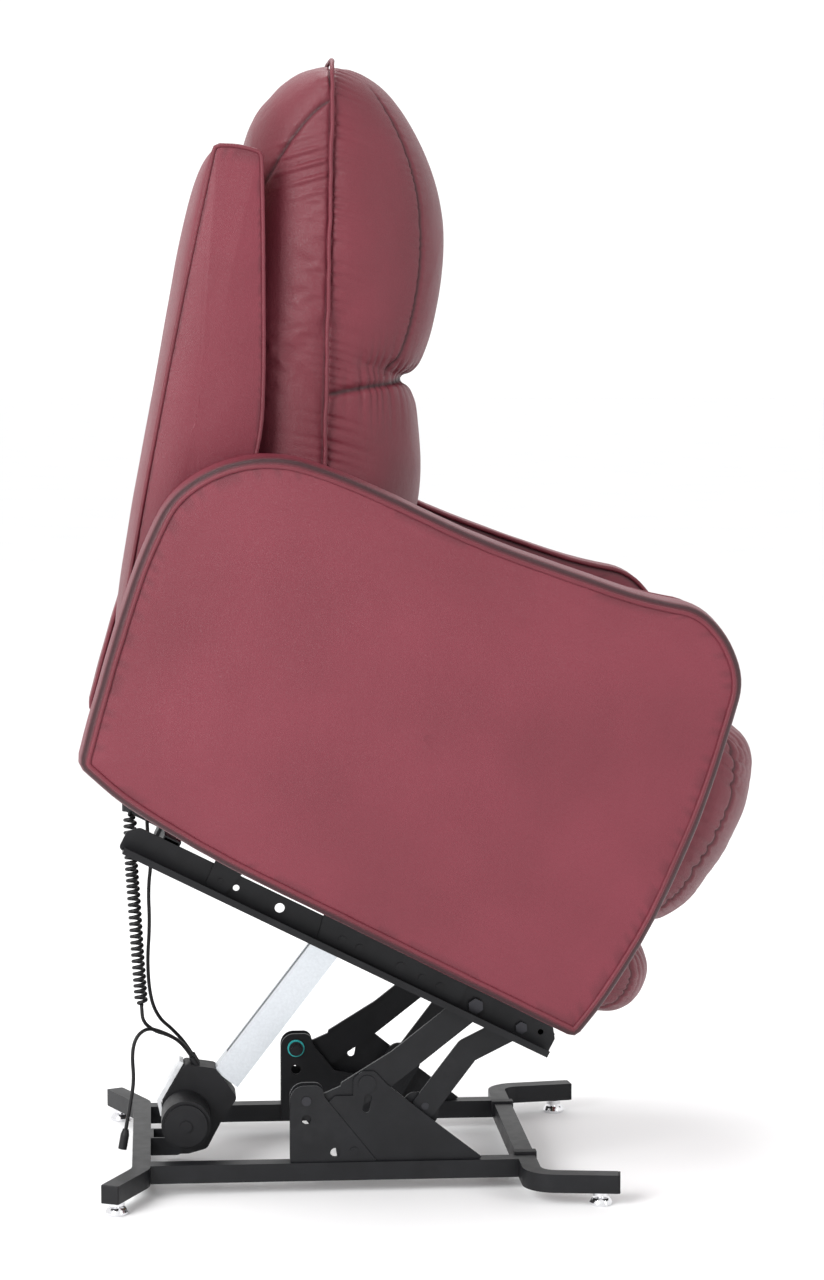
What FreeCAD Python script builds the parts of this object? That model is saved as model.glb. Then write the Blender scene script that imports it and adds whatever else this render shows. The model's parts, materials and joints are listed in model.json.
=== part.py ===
import FreeCAD, Part
import math
import os

# Lift recliner chair, modelled in its raised position, in millimetres.
# +X is the way the sitter faces, +Z is up, and the floor is at z = 0.
# The right-hand side of the chair, as the sitter has it, is at negative y.

Vector = FreeCAD.Vector
os.makedirs("parts", exist_ok=True)

# ---- driving dimensions -------------------------------------------------
rear_foot_x = -424.4          # the two rear feet stand here
front_foot_x = rear_foot_x + 649.5
foot_y = 265.0
tube = 25.0                   # square tube of the floor frame
wall = 2.0
tube_z = 31.0                 # centre height of the floor frame
rail_y = 172.5                # centre line of each floor rail
rear_bar_x = rear_foot_x + 32.5
front_bar_x = rear_foot_x + 559.5
# each crossbar: centre line, x of its ends, half width at its bends and at its ends, bend radius
rear_bar = (rear_bar_x, rear_foot_x - 8.0, 195.0, 282.0, 45.0)
front_bar = (front_bar_x, rear_foot_x + 672.0, 256.0, 272.0, 34.0)

arm_pivot = (rear_foot_x + 257.0, 128.0)      # floor end of the long lift arms
seat_pivot = (rear_foot_x + 487.0, 258.0)     # seat end of the long lift arms, raised
link_pivot = (rear_foot_x + 420.0, 115.0)     # floor end of the short front links
link_seat_u = 70.0                            # seat end of the front links, ahead of seat_pivot
lift_tilt = 26.6              # nose-down tilt of the seat frame when raised, degrees

motor_pivot = (rear_foot_x + 79.0, 30.0)      # lift actuator's lower pin
actuator_angle = 52.4         # actuator's slope when raised, degrees
drive_pin_reach = 500.0       # from the lower pin to the drive block, raised

# planes across the chair, measured outwards from the centre plane
inner_plate_y = (155.0, 160.0)
front_link_y = (161.0, 166.0)
lift_arm_y = (167.5, 173.5)
gusset_y = (175.0, 180.0)
seat_rail_y = (182.0, 186.0)
side_plate_y = (186.0, 190.0)
legrest_link_y = (191.0, 196.0)
legrest_bracket_y = (197.0, 201.0)
flange_y = 216.0

arm_inner_y = 275.0
arm_outer_y = 390.0
cushion_half = 262.0

back_lean = 16.0              # lean of the backrest against the seat frame, degrees
back_origin = (-647.0, 205.0)                 # foot of the rear face, seat frame
back_pivot = (-500.0, 300.0)                  # recline hinge, seat frame
legrest_pivot = (72.5, 144.0)                 # legrest link on the seat frame
legrest_joint = (55.0, 370.0)                 # legrest board on its link

pin_gap = 0.05                # radial running clearance of a pivot
soft_gap = 0.4


# ---- helpers ------------------------------------------------------------
def save(name, *shapes):
    """Write one or more separate solids as one node."""
    solids = []
    for shape in shapes:
        solids.extend(shape.Solids)
    result = solids[0] if len(solids) == 1 else Part.makeCompound(solids)
    result.exportStep(os.path.join("parts", name + ".step"))


def box(x0, x1, y0, y1, z0, z1):
    low = Vector(min(x0, x1), min(y0, y1), min(z0, z1))
    return Part.makeBox(abs(x1 - x0), abs(y1 - y0), abs(z1 - z0), low)


def rod(start, end, radius):
    start = Vector(*start)
    along = Vector(*end) - start
    return Part.makeCylinder(radius, along.Length, start, along)


def cross_rod(x, z, y0, y1, radius):
    """Cylinder across the chair, between two widths."""
    low, high = min(y0, y1), max(y0, y1)
    return rod((x, low, z), (x, high, z), radius)


def hexagon(x, z, y0, y1, across_flats):
    """Hexagonal nut or bolt head across the chair."""
    low, high = min(y0, y1), max(y0, y1)
    corner = across_flats / math.sqrt(3.0)
    ring = []
    for index in range(7):
        angle = math.radians(60.0 * index)
        ring.append(Vector(x + corner * math.cos(angle), low, z + corner * math.sin(angle)))
    return Part.Face(Part.makePolygon(ring)).extrude(Vector(0, high - low, 0))


def rounded_wire(points, radii):
    """Closed outline in 3-D points whose corners are tangent arcs."""
    count = len(points)
    if not isinstance(radii, (list, tuple)):
        radii = [radii] * count
    edges = []
    ends = []
    for index in range(count):
        here = points[index]
        to_last = (points[index - 1] - here).normalize()
        to_next = (points[(index + 1) % count] - here).normalize()
        opening = to_last.getAngle(to_next)
        setback = radii[index] / math.tan(opening / 2.0)
        middle = (to_last + to_next).normalize()
        centre_distance = radii[index] / math.sin(opening / 2.0)
        arc_start = here + to_last * setback
        arc_end = here + to_next * setback
        arc_middle = here + middle * (centre_distance - radii[index])
        ends.append((arc_start, arc_end))
        if radii[index] > 0:
            edges.append(Part.Arc(arc_start, arc_middle, arc_end).toShape())
        else:
            edges.append(None)
    loop = []
    for index in range(count):
        if edges[index] is not None:
            loop.append(edges[index])
        start = ends[index][1]
        end = ends[(index + 1) % count][0]
        if (end - start).Length > 1e-6:
            loop.append(Part.LineSegment(start, end).toShape())
    return Part.Wire(loop)


def plate(outline, y0, y1, radii=0.0, holes=()):
    """Flat plate that stands fore-and-aft; outline and holes are in (x, z)."""
    low, high = min(y0, y1), max(y0, y1)
    points = [Vector(x, low, z) for x, z in outline]
    solid = Part.Face(rounded_wire(points, radii)).extrude(Vector(0, high - low, 0))
    for x, z, radius in holes:
        solid = solid.cut(cross_rod(x, z, low - 1, high + 1, radius))
    return solid


def strap(points, radius, y0, y1, holes=()):
    """Flat bar of even width that follows the points, with round ends."""
    low, high = min(y0, y1), max(y0, y1)
    pieces = [cross_rod(x, z, low, high, radius) for x, z in points]
    for (x0, z0), (x1, z1) in zip(points, points[1:]):
        length = math.hypot(x1 - x0, z1 - z0)
        side_x = -(z1 - z0) / length * radius
        side_z = (x1 - x0) / length * radius
        corners = [(x0 + side_x, z0 + side_z), (x1 + side_x, z1 + side_z),
                   (x1 - side_x, z1 - side_z), (x0 - side_x, z0 - side_z)]
        pieces.append(plate(corners, low, high))
    solid = pieces[0].multiFuse(pieces[1:]).removeSplitter()
    for x, z, hole_radius in holes:
        solid = solid.cut(cross_rod(x, z, low - 1, high + 1, hole_radius))
    return solid


def both_sides(maker):
    """Build one solid for the right (-1) and one for the left (+1)."""
    return [maker(side) for side in (-1, 1)]


def span(side, widths):
    return side * widths[0], side * widths[1]


def bent_tube(path, size, thickness, bend):
    """Square tube along a flat path with arcs at its bends."""
    def swept(half):
        start = path[0]
        run = (path[1] - path[0]).normalize()
        across = Vector(-run.y, run.x, 0) * half
        up = Vector(0, 0, half)
        corners = [start + across + up, start - across + up, start - across - up, start + across - up]
        profile = Part.makePolygon(corners + corners[:1])
        edges = []
        last = path[0]
        for index in range(1, len(path) - 1):
            here = path[index]
            back = (path[index - 1] - here).normalize()
            ahead = (path[index + 1] - here).normalize()
            opening = back.getAngle(ahead)
            setback = bend / math.tan(opening / 2.0)
            middle = here + (back + ahead).normalize() * (bend / math.sin(opening / 2.0) - bend)
            edges.append(Part.LineSegment(last, here + back * setback).toShape())
            edges.append(Part.Arc(here + back * setback, middle, here + ahead * setback).toShape())
            last = here + ahead * setback
        edges.append(Part.LineSegment(last, path[-1]).toShape())
        return Part.Wire(edges).makePipeShell([profile], True, False)
    return swept(size / 2.0).cut(swept(size / 2.0 - thickness))


def raised(shape):
    """Take a shape from the seat frame's own axes to the raised chair."""
    moved = shape.copy()
    moved.rotate(Vector(0, 0, 0), Vector(0, 1, 0), lift_tilt)
    moved.translate(Vector(seat_pivot[0], 0, seat_pivot[1]))
    return moved


def on_back(shape):
    """Take a shape from the backrest's own axes to the seat frame."""
    moved = shape.copy()
    moved.rotate(Vector(0, 0, 0), Vector(0, 1, 0), -back_lean)
    moved.translate(Vector(back_origin[0], 0, back_origin[1]))
    return moved


def save_raised(name, *shapes):
    save(name, *[raised(shape) for shape in shapes])


def cord_tube(name, points, diameter):
    """Cord of straight runs joined by tangent arcs; prints its length and radii."""
    points = [Vector(*point) for point in points]
    runs = [(b - a).Length for a, b in zip(points, points[1:])]
    edges = []
    radii = []
    last = points[0]
    for index in range(1, len(points) - 1):
        here = points[index]
        back = (points[index - 1] - here).normalize()
        ahead = (points[index + 1] - here).normalize()
        turn = math.pi - back.getAngle(ahead)
        setback = 0.45 * min(runs[index - 1], runs[index])
        radius = setback / math.tan(turn / 2.0)
        radii.append(round(radius, 1))
        middle = here + (back + ahead).normalize() * (radius / math.cos(turn / 2.0) - radius)
        arc_start = here + back * setback
        arc_end = here + ahead * setback
        edges.append(Part.LineSegment(last, arc_start).toShape())
        edges.append(Part.Arc(arc_start, middle, arc_end).toShape())
        last = arc_end
    edges.append(Part.LineSegment(last, points[-1]).toShape())
    path = Part.Wire(edges)
    section = Part.Wire(Part.Circle(points[0], points[1] - points[0], diameter / 2.0).toShape())
    tube_solid = path.makePipeShell([section], True, False)
    ideal = math.pi * diameter ** 2 / 4.0 * path.Length
    print(name, "length", round(path.Length, 1), "volume ratio", round(tube_solid.Volume / ideal, 4),
          "smallest radius", min(radii), "runs", [round(run) for run in runs])
    save(name, tube_solid)
    return tube_solid


# ---- floor frame --------------------------------------------------------
def floor_rail(side):
    x0, x1 = rear_bar_x + tube / 2.0, front_bar_x - tube / 2.0
    y0, y1 = side * rail_y - tube / 2.0, side * rail_y + tube / 2.0
    outer = box(x0, x1, y0, y1, tube_z - tube / 2.0, tube_z + tube / 2.0)
    inner = box(x0, x1, y0 + wall, y1 - wall, tube_z - tube / 2.0 + wall, tube_z + tube / 2.0 - wall)
    return outer.cut(inner)


def crossbar(bar_x, end_x, bend_y, end_y, bend):
    path = [Vector(end_x, -end_y, tube_z), Vector(bar_x, -bend_y, tube_z),
            Vector(bar_x, bend_y, tube_z), Vector(end_x, end_y, tube_z)]
    return bent_tube(path, tube, wall, bend)


def end_cap(bar_x, end_x, bend_y, end_y, side):
    """Square plastic plug pressed flat against a crossbar's open end."""
    end = Vector(end_x, side * end_y, tube_z)
    along = (end - Vector(bar_x, side * bend_y, tube_z)).normalize()
    cap = box(0, 3.0, -tube / 2.0, tube / 2.0, -tube / 2.0, tube / 2.0)
    cap = cap.makeFillet(1.0, cap.Edges)
    plug = box(-12.0, 1.0, -tube / 2.0 + wall, tube / 2.0 - wall, -tube / 2.0 + wall, tube / 2.0 - wall)
    cap = cap.fuse(plug)
    cap.rotate(Vector(0, 0, 0), Vector(0, 0, 1), math.degrees(math.atan2(along.y, along.x)))
    cap.translate(end)
    return cap


save("floor_rails", *both_sides(floor_rail))
save("rear_crossbar", crossbar(*rear_bar))
save("front_crossbar", crossbar(*front_bar))
save("crossbar_end_caps", *[end_cap(*bar[:4], side) for bar in (rear_bar, front_bar) for side in (-1, 1)])

glide_radius = 15.5
glide_height = 10.0
glide_profile = [(0.0, 0.0), (glide_radius - 1.5, 0.0), (glide_radius, 1.5), (glide_radius, 4.0),
                 (glide_radius - 2.0, 7.5), (11.5, glide_height), (0.0, glide_height)]


def levelling_foot(x, y):
    """Domed foot disc with the nut that locks it under the tube."""
    ring = [Vector(x + radius, y, height) for radius, height in glide_profile]
    face = Part.Face(Part.makePolygon(ring + ring[:1]))
    disc = face.revolve(Vector(x, y, 0), Vector(0, 0, 1), 360)
    under_tube = tube_z - tube / 2.0
    stem = Part.makeCylinder(5.0, under_tube - glide_height, Vector(x, y, glide_height))
    nut = Part.makeCylinder(10.5, 6.0, Vector(x, y, under_tube - 6.0))
    return disc.multiFuse([stem, nut]).removeSplitter()


feet = [(x, side * foot_y) for x in (rear_foot_x, front_foot_x) for side in (-1, 1)]
save("levelling_feet", *[levelling_foot(x, y) for x, y in feet])


def crossbar_clip(side):
    """Plastic clip over the front crossbar, beside the end of a floor rail."""
    half = tube / 2.0
    grow = 3.0
    clip = box(front_bar_x - half - grow, front_bar_x + half + grow, side * 141.0, side * 157.0,
               tube_z - 7.0, tube_z + half + grow)
    return clip.cut(box(front_bar_x - half, front_bar_x + half, side * 140.0, side * 158.0,
                        tube_z - half, tube_z + half))


save("crossbar_clips", *both_sides(crossbar_clip))


# ---- brackets that carry the lift arms ----------------------------------
pivot_bolt_radius = 5.0
rail_top = tube_z + tube / 2.0
bracket_back = rear_foot_x + 235.0


def lift_bracket(side):
    """Inner plate: carries the long arm at the back and the front link ahead of it."""
    ax, az = arm_pivot
    lx, lz = link_pivot
    outline = [(bracket_back, 20.0), (bracket_back, az + 21.0), (ax + 21.0, az + 21.0), (ax + 25.0, az + 5.0),
               (ax + 56.0, 94.0), (ax + 109.0, 84.0), (lx - 22.0, lz + 18.0), (lx + 19.0, lz + 18.0),
               (lx + 19.0, lz - 16.0), (lx - 28.0, 20.0)]
    radii = [2.0, 19.0, 12.0, 6.0, 10.0, 16.0, 16.0, 16.0, 14.0, 4.0]
    holes = [(ax, az, pivot_bolt_radius), (lx, lz, pivot_bolt_radius), (ax, az - 32.0, 7.0),
             (ax + 40.0, 53.0, 8.0), (lx - 48.0, 74.0, 6.0), (lx - 48.0, 62.0, 6.0)]
    solid = plate(outline, *span(side, inner_plate_y), radii, holes)
    window = box(lx - 54.0, lx - 42.0, side * 150.0, side * 165.0, 62.0, 74.0)
    return solid.cut(window)


bracket_rivet = (rear_foot_x + 322.0, 58.0)
gusset_rivet = (rear_foot_x + 340.0, 150.0)


def lift_gusset(side):
    """Outer plates on the floor rail: a narrow one over the arm's bolt, a wide one behind it."""
    ax, az = arm_pivot
    x0 = rear_foot_x
    leaf_split = 177.6
    wide_outline = [(x0 + 300.0, rail_top), (x0 + 290.0, 100.0), (x0 + 284.0, 122.0), (x0 + 296.0, 134.0),
                    (x0 + 321.0, 134.0), (x0 + 321.0, 157.0), (x0 + 333.0, 167.5), (x0 + 350.0, 167.5),
                    (x0 + 366.0, 150.0), (x0 + 432.0, 96.5), (x0 + 497.0, 46.0), (x0 + 494.0, rail_top)]
    wide = plate(wide_outline, *span(side, (gusset_y[0], leaf_split)), [1, 6, 6, 6, 1, 10, 8, 8, 20, 60, 1, 0.5])
    slot = strap([(x0 + 338.6, 115.0), (x0 + 341.4, 131.0)], 5.0, side * 174.0, side * 179.0)
    narrow_outline = [(bracket_back, rail_top), (bracket_back, az + 21.0), (ax + 21.0, az + 21.0),
                      (ax + 25.0, az + 5.0), (x0 + 353.0, rail_top)]
    holes = [(ax, az, pivot_bolt_radius), (ax, az - 25.5, 6.5), (x0 + 296.0, 56.0, 6.5)]
    narrow = plate(narrow_outline, *span(side, (leaf_split, gusset_y[1])), [1, 19, 12, 6, 1], holes)
    heads = [cross_rod(*gusset_rivet, side * 177.0, side * 179.6, 12.0),
             cross_rod(*bracket_rivet, side * 179.0, side * 181.4, 5.5)]
    return wide.cut(slot).multiFuse([narrow] + heads).removeSplitter()


save("lift_brackets", *both_sides(lift_bracket))
save("lift_gussets", *both_sides(lift_gusset))


def arm_pivot_bolt(side):
    """Bolt of the long arm: flanged head inboard, shoulder and spacer, button outboard."""
    ax, az = arm_pivot
    shaft = cross_rod(ax, az, side * 146.0, side * 181.0, pivot_bolt_radius)
    head = hexagon(ax, az, side * 146.0, side * 150.0, 13.0)
    flange = cross_rod(ax, az, side * 149.0, side * 152.0, 10.4)
    shoulder = cross_rod(ax, az, side * 160.0, side * 167.2, 9.0)
    spacer = cross_rod(ax, az, side * 173.8, side * 177.6, 9.0)
    button = cross_rod(ax, az, side * 180.0, side * 181.6, 6.5)
    return shaft.multiFuse([head, flange, shoulder, spacer, button]).removeSplitter()


def link_pivot_pin(side):
    lx, lz = link_pivot
    shaft = cross_rod(lx, lz, side * 150.0, side * 166.6, pivot_bolt_radius)
    head = cross_rod(lx, lz, side * 150.0, side * 155.0, 8.0)
    return shaft.fuse(head).removeSplitter()


save("lift_pivot_bolts", *both_sides(arm_pivot_bolt), *both_sides(link_pivot_pin))


def pivot_washer(side):
    """Coloured plastic flange bush on the inboard face of the bracket."""
    ax, az = arm_pivot
    ring = cross_rod(ax, az, side * 152.0, side * 155.0, 12.4)
    return ring.cut(cross_rod(ax, az, side * 151.0, side * 156.0, pivot_bolt_radius))


save("pivot_bushes", *both_sides(pivot_washer))

# ---- clevis for the lift actuator --------------------------------------
clevis_ear = (24.0, 28.0)
clevis_pin_radius = 5.0


def clevis_plate(side):
    mx, mz = motor_pivot
    bar_face = rear_bar_x + tube / 2.0
    z0, z1 = tube_z - tube / 2.0, rail_top
    outline = [(bar_face, z0), (bar_face, z1), (mx + 12.5, z1), (mx + 12.5, z0)]
    return plate(outline, *span(side, clevis_ear), [1.0, 1.0, 11.0, 11.0],
                 [(mx, mz, clevis_pin_radius)])


clevis_back = box(rear_bar_x + tube / 2.0, rear_bar_x + tube / 2.0 + 4.0, -24.0, 24.0,
                  tube_z - tube / 2.0, rail_top)
clevis_pin = cross_rod(motor_pivot[0], motor_pivot[1], -28.0, 28.0, clevis_pin_radius)
save("actuator_clevis", clevis_back.multiFuse(both_sides(clevis_plate) + [clevis_pin]).removeSplitter())


# ---- long lift arms and short front links -------------------------------
arm_radius = 19.0
arm_knee = (rear_foot_x + 385.0, 178.0)
link_radius = 17.0
link_knee = (rear_foot_x + 478.0, 191.0)
seat_bolt_radius = 6.0
link_bolt_radius = 5.0
open_pivot_clearance = 2.8


def seat_point(u, w):
    """A point of the seat frame in the raised chair, as (x, z)."""
    angle = math.radians(lift_tilt)
    x = seat_pivot[0] + u * math.cos(angle) + w * math.sin(angle)
    z = seat_pivot[1] - u * math.sin(angle) + w * math.cos(angle)
    return x, z


link_top = seat_point(link_seat_u, 0.0)


def lift_arm(side):
    """Long arm: a deep foot that hangs below its floor pivot, and an even bar up to the seat."""
    x0 = rear_foot_x
    foot_outline = [(x0 + 245.0, 132.0), (x0 + 252.0, 139.0), (x0 + 280.0, 136.0), (x0 + 304.0, 146.5),
                    (x0 + 305.0, 151.0), (x0 + 373.3, 193.0), (x0 + 396.7, 163.0), (x0 + 363.0, 137.0),
                    (x0 + 334.0, 119.0), (x0 + 312.0, 101.0), (x0 + 291.0, 92.0), (x0 + 266.0, 90.0),
                    (x0 + 249.0, 108.0)]
    foot = plate(foot_outline, *span(side, lift_arm_y), [4, 5, 20, 0.2, 1, 0, 0, 40, 30, 20, 20, 8, 10])
    bar = strap([arm_knee, seat_pivot], arm_radius, *span(side, lift_arm_y))
    arm = foot.fuse(bar).removeSplitter()
    for (x, z), radius in ((arm_pivot, pivot_bolt_radius), (seat_pivot, seat_bolt_radius)):
        arm = arm.cut(cross_rod(x, z, side * 160.0, side * 180.0, radius + pin_gap))
    return arm


def front_link(side):
    """Short link; its seat end has a loose hole that lets the linkage fold."""
    return strap([link_pivot, link_knee, link_top], link_radius, *span(side, front_link_y),
                 [(link_pivot[0], link_pivot[1], pivot_bolt_radius + pin_gap),
                  (link_top[0], link_top[1], link_bolt_radius + open_pivot_clearance)])


save("lift_arms", *both_sides(lift_arm))
save("front_links", *both_sides(front_link))


# ---- lift actuator ------------------------------------------------------
def on_actuator(reach, offset):
    """A point on the actuator: along its screw, and offset to its upper side."""
    angle = math.radians(actuator_angle)
    x = motor_pivot[0] + reach * math.cos(angle) - offset * math.sin(angle)
    z = motor_pivot[1] + reach * math.sin(angle) + offset * math.cos(angle)
    return x, z


def actuator_bar(reach0, reach1, offset0, offset1, y0, y1):
    corners = [on_actuator(reach0, offset0), on_actuator(reach1, offset0),
               on_actuator(reach1, offset1), on_actuator(reach0, offset1)]
    return plate(corners, y0, y1)


gearbox_half = 23.0
x0 = rear_foot_x
gearbox_outline = [(x0 + 66.0, 19.0), (x0 + 98.0, 19.0), (x0 + 124.0, 26.0), (x0 + 143.0, 62.0),
                   (x0 + 167.0, 98.0), (x0 + 136.0, 140.0), (x0 + 93.0, 147.0), (x0 + 61.0, 93.0),
                   (x0 + 66.0, 48.0)]
gearbox = plate(gearbox_outline, -gearbox_half, gearbox_half, [9, 6, 10, 30, 8, 8, 7, 12, 20],
                [(motor_pivot[0], motor_pivot[1], clevis_pin_radius + pin_gap)])
profile_start = 118.0
profile_end = 545.0
profile_half = 20.5
profile_half_y = 17.0
motor_centre = (x0 + 94.0, 77.5)
motor_neck = (x0 + 101.0, 82.0)
motor_face_y = -104.0
neck = cross_rod(motor_neck[0], motor_neck[1], -gearbox_half, -31.0, 19.0)
gearbox = gearbox.cut(actuator_bar(profile_start, profile_end, -profile_half, profile_half,
                                   -profile_half_y, profile_half_y))
save("lift_gearbox", gearbox.fuse(neck).removeSplitter())
motor_can = cross_rod(motor_centre[0], motor_centre[1], -31.0, motor_face_y + 6.0, 34.0)
motor_cap = cross_rod(motor_centre[0], motor_centre[1], motor_face_y + 7.0, motor_face_y, 29.5)
motor_boss = cross_rod(motor_centre[0], motor_centre[1], motor_face_y, motor_face_y - 3.0, 8.0)
save("lift_motor", motor_can.multiFuse([motor_cap, motor_boss]).removeSplitter())
trim_outline = [(x0 + 60.0, 93.0), (x0 + 92.0, 148.0), (x0 + 86.0, 150.0), (x0 + 54.0, 95.0),
                (x0 + 59.0, 72.0), (x0 + 62.0, 72.0)]
save("gearbox_side_strip", plate(trim_outline, -18.0, 18.0, 1.0).cut(gearbox))

spindle_radius = 6.0
slot_half = 6.5
profile = actuator_bar(profile_start, profile_end, -profile_half, profile_half,
                       -profile_half_y, profile_half_y)
profile_bore = actuator_bar(profile_start - 1.0, profile_end + 1.0, -profile_half + 2.5,
                            profile_half - 2.5, -profile_half_y + 2.5, profile_half_y - 2.5)
profile_slot = actuator_bar(profile_start + 30.0, profile_end + 1.0, profile_half - 4.0,
                            profile_half + 1.0, -slot_half, slot_half)
end_plug = actuator_bar(profile_end - 1.0, profile_end + 5.0, -profile_half, profile_half,
                        -profile_half_y, profile_half_y)
save("lift_guide_profile", profile.cut(profile_bore).cut(profile_slot).fuse(end_plug).removeSplitter())
spindle_from = on_actuator(profile_start, 0.0)
spindle_to = on_actuator(profile_end - 6.0, 0.0)
save("lift_spindle", rod((spindle_from[0], 0, spindle_from[1]), (spindle_to[0], 0, spindle_to[1]),
                         spindle_radius))

# drive block: slides on the profile and carries the trunnions that lift the seat frame
block_half = 28.0
block = actuator_bar(drive_pin_reach - 30.0, drive_pin_reach + 30.0, -31.0, 31.0,
                     -block_half, block_half)
block = block.cut(actuator_bar(drive_pin_reach - 40.0, drive_pin_reach + 40.0,
                               -profile_half - soft_gap, profile_half + soft_gap,
                               -profile_half_y - soft_gap, profile_half_y + soft_gap))
tongue = actuator_bar(drive_pin_reach - 22.0, drive_pin_reach + 22.0, 10.0, profile_half + 2.0,
                      -slot_half + soft_gap, slot_half - soft_gap)
nut_from = on_actuator(drive_pin_reach - 22.0, 0.0)
nut_to = on_actuator(drive_pin_reach + 22.0, 0.0)
nut = rod((nut_from[0], 0, nut_from[1]), (nut_to[0], 0, nut_to[1]), 13.0)
nut_bore = rod((nut_from[0], 0, nut_from[1]), (nut_to[0], 0, nut_to[1]), spindle_radius + pin_gap)
drive_pin = on_actuator(drive_pin_reach, 0.0)
trunnion_radius = 7.0
trunnions = [cross_rod(drive_pin[0], drive_pin[1], side * block_half, side * 40.0, trunnion_radius)
             for side in (-1, 1)]
save("drive_block", block.multiFuse(trunnions + [tongue.fuse(nut).cut(nut_bore)]).removeSplitter())


# ---- seat frame, in its own axes: u forward, w up, from the long arm's bolt ----
rail_low = -18.0
rail_high = 20.0
rail_rear = -530.0
rail_front = 119.0


def seat_rail(side):
    web_outline = [(rail_rear, rail_low), (rail_rear, rail_high - 12.0), (rail_rear + 14.0, rail_high),
                   (rail_front - 10.0, rail_high), (rail_front, rail_high - 14.0), (rail_front, rail_low)]
    holes = [(0.0, 0.0, seat_bolt_radius), (link_seat_u, 0.0, link_bolt_radius), (-299.0, 4.0, 6.7),
             (-364.0, 3.0, 4.4), (97.0, 6.0, 4.0)]
    web = plate(web_outline, *span(side, seat_rail_y), [6, 5, 8, 6, 4, 4], holes)
    flange = box(rail_rear + 6.0, rail_front - 4.0, side * seat_rail_y[1], side * flange_y,
                 rail_low, rail_low + 4.0)
    lip = box(rail_rear + 6.0, rail_front - 4.0, side * (flange_y - 2.5), side * flange_y,
              rail_low, rail_low + 9.0)
    return web.multiFuse([flange, lip]).removeSplitter()


def seat_bolt(side):
    """Bolt that joins the long arm to the seat rail, with its sleeve."""
    shaft = cross_rod(0.0, 0.0, side * 166.5, side * 192.0, seat_bolt_radius)
    sleeve = cross_rod(0.0, 0.0, side * 174.0, side * 182.0, 10.0)
    head = hexagon(0.0, 0.0, side * 186.0, side * 193.0, 19.0)
    clip = cross_rod(0.0, 0.0, side * 166.5, side * 167.2, 9.0)
    return shaft.multiFuse([sleeve, head, clip]).removeSplitter()


def link_bolt(side):
    shaft = cross_rod(link_seat_u, 0.0, side * 158.0, side * 191.0, link_bolt_radius)
    sleeve = cross_rod(link_seat_u, 0.0, side * 167.0, side * 182.0, 9.0)
    head = hexagon(link_seat_u, 0.0, side * 186.0, side * 191.0, 15.0)
    keeper = cross_rod(link_seat_u, 0.0, side * 156.0, side * 160.5, 10.0)
    return shaft.multiFuse([sleeve, head, keeper]).removeSplitter()


save_raised("seat_rails", *both_sides(seat_rail))
save_raised("seat_pivot_bolts", *both_sides(seat_bolt), *both_sides(link_bolt))


plate_low = -10.0


def side_plate(side):
    """Steel plate of the recline mechanism, from the rail up to the seat box."""
    bu, bw = back_pivot
    lu, lw = legrest_pivot
    outline = [(-404.0, plate_low), (-408.0, 62.0), (-470.0, 200.0), (bu - 16.0, bw - 14.0),
               (bu - 14.0, bw + 16.0), (bu + 30.0, bw + 22.0), (-420.0, 270.0), (10.0, 270.0),
               (lu + 13.0, lw + 14.0), (lu + 13.0, lw - 14.0), (lu - 12.0, lw - 14.0), (-22.0, 60.0),
               (-22.0, plate_low), (-235.0, plate_low), (-250.0, 62.0), (-356.0, 62.0), (-374.0, plate_low)]
    radii = [4.0, 20.0, 20.0, 10.0, 12.0, 12.0, 20.0, 14.0, 12.0, 12.0, 8.0, 20.0, 4.0, 4.0, 12.0, 12.0, 4.0]
    web = plate(outline, *span(side, side_plate_y), radii)
    studs = [cross_rod(bu, bw, side * 188.0, side * 198.0, 5.0),
             cross_rod(bu, bw, side * 195.4, side * 198.0, 9.0),
             cross_rod(lu, lw, side * 188.0, side * 199.0, 5.0),
             cross_rod(lu, lw, side * 196.4, side * 199.0, 8.0)]
    for u, radius in ((-388.0, 3.5), (-204.0, 5.0), (-178.0, 5.0), (-116.0, 7.0), (-83.0, 5.0), (-56.0, 5.0)):
        studs.append(cross_rod(u, 3.0, side * 189.0, side * 191.6, radius))
    return web.multiFuse(studs).removeSplitter()


save_raised("side_plates", *both_sides(side_plate))

# cross members between the two seat rails and side plates
rear_member = box(-482.0, -457.0, -seat_rail_y[0], seat_rail_y[0], 0.0, 25.0)
rear_member = rear_member.cut(box(-480.0, -459.0, -seat_rail_y[0], seat_rail_y[0], 2.0, 23.0))
front_member = box(92.0, 117.0, -seat_rail_y[0], seat_rail_y[0], -14.0, 11.0)
front_member = front_member.cut(box(94.0, 115.0, -seat_rail_y[0], seat_rail_y[0], -12.0, 9.0))
save_raised("seat_cross_members", rear_member, front_member)


def seat_frame_point(x, z):
    """A point of the raised chair in the seat frame's own axes, as (u, w)."""
    angle = math.radians(lift_tilt)
    dx, dz = x - seat_pivot[0], z - seat_pivot[1]
    return dx * math.cos(angle) - dz * math.sin(angle), dx * math.sin(angle) + dz * math.cos(angle)


drive_u, drive_w = seat_frame_point(*drive_pin)
drive_tube = (drive_u - 60.0, drive_w + 60.0)
drive_tube_radius = 12.5
drive_ear = (30.5, 35.5)


def drive_lug(side):
    """Ear with an oversize hole that takes up the trunnion's play as the chair comes down."""
    ear = strap([drive_tube, (drive_u, drive_w), (drive_u + 9.0, drive_w - 12.0)], 19.0,
                *span(side, drive_ear))
    hole = strap([(drive_u, drive_w), (drive_u + 8.5, drive_w - 9.5), (drive_u + 9.0, drive_w - 13.5),
                  (drive_u + 4.5, drive_w - 9.5), (drive_u, drive_w)], trunnion_radius + 1.5,
                 side * 29.0, side * 37.0)
    return ear.cut(hole)


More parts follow.
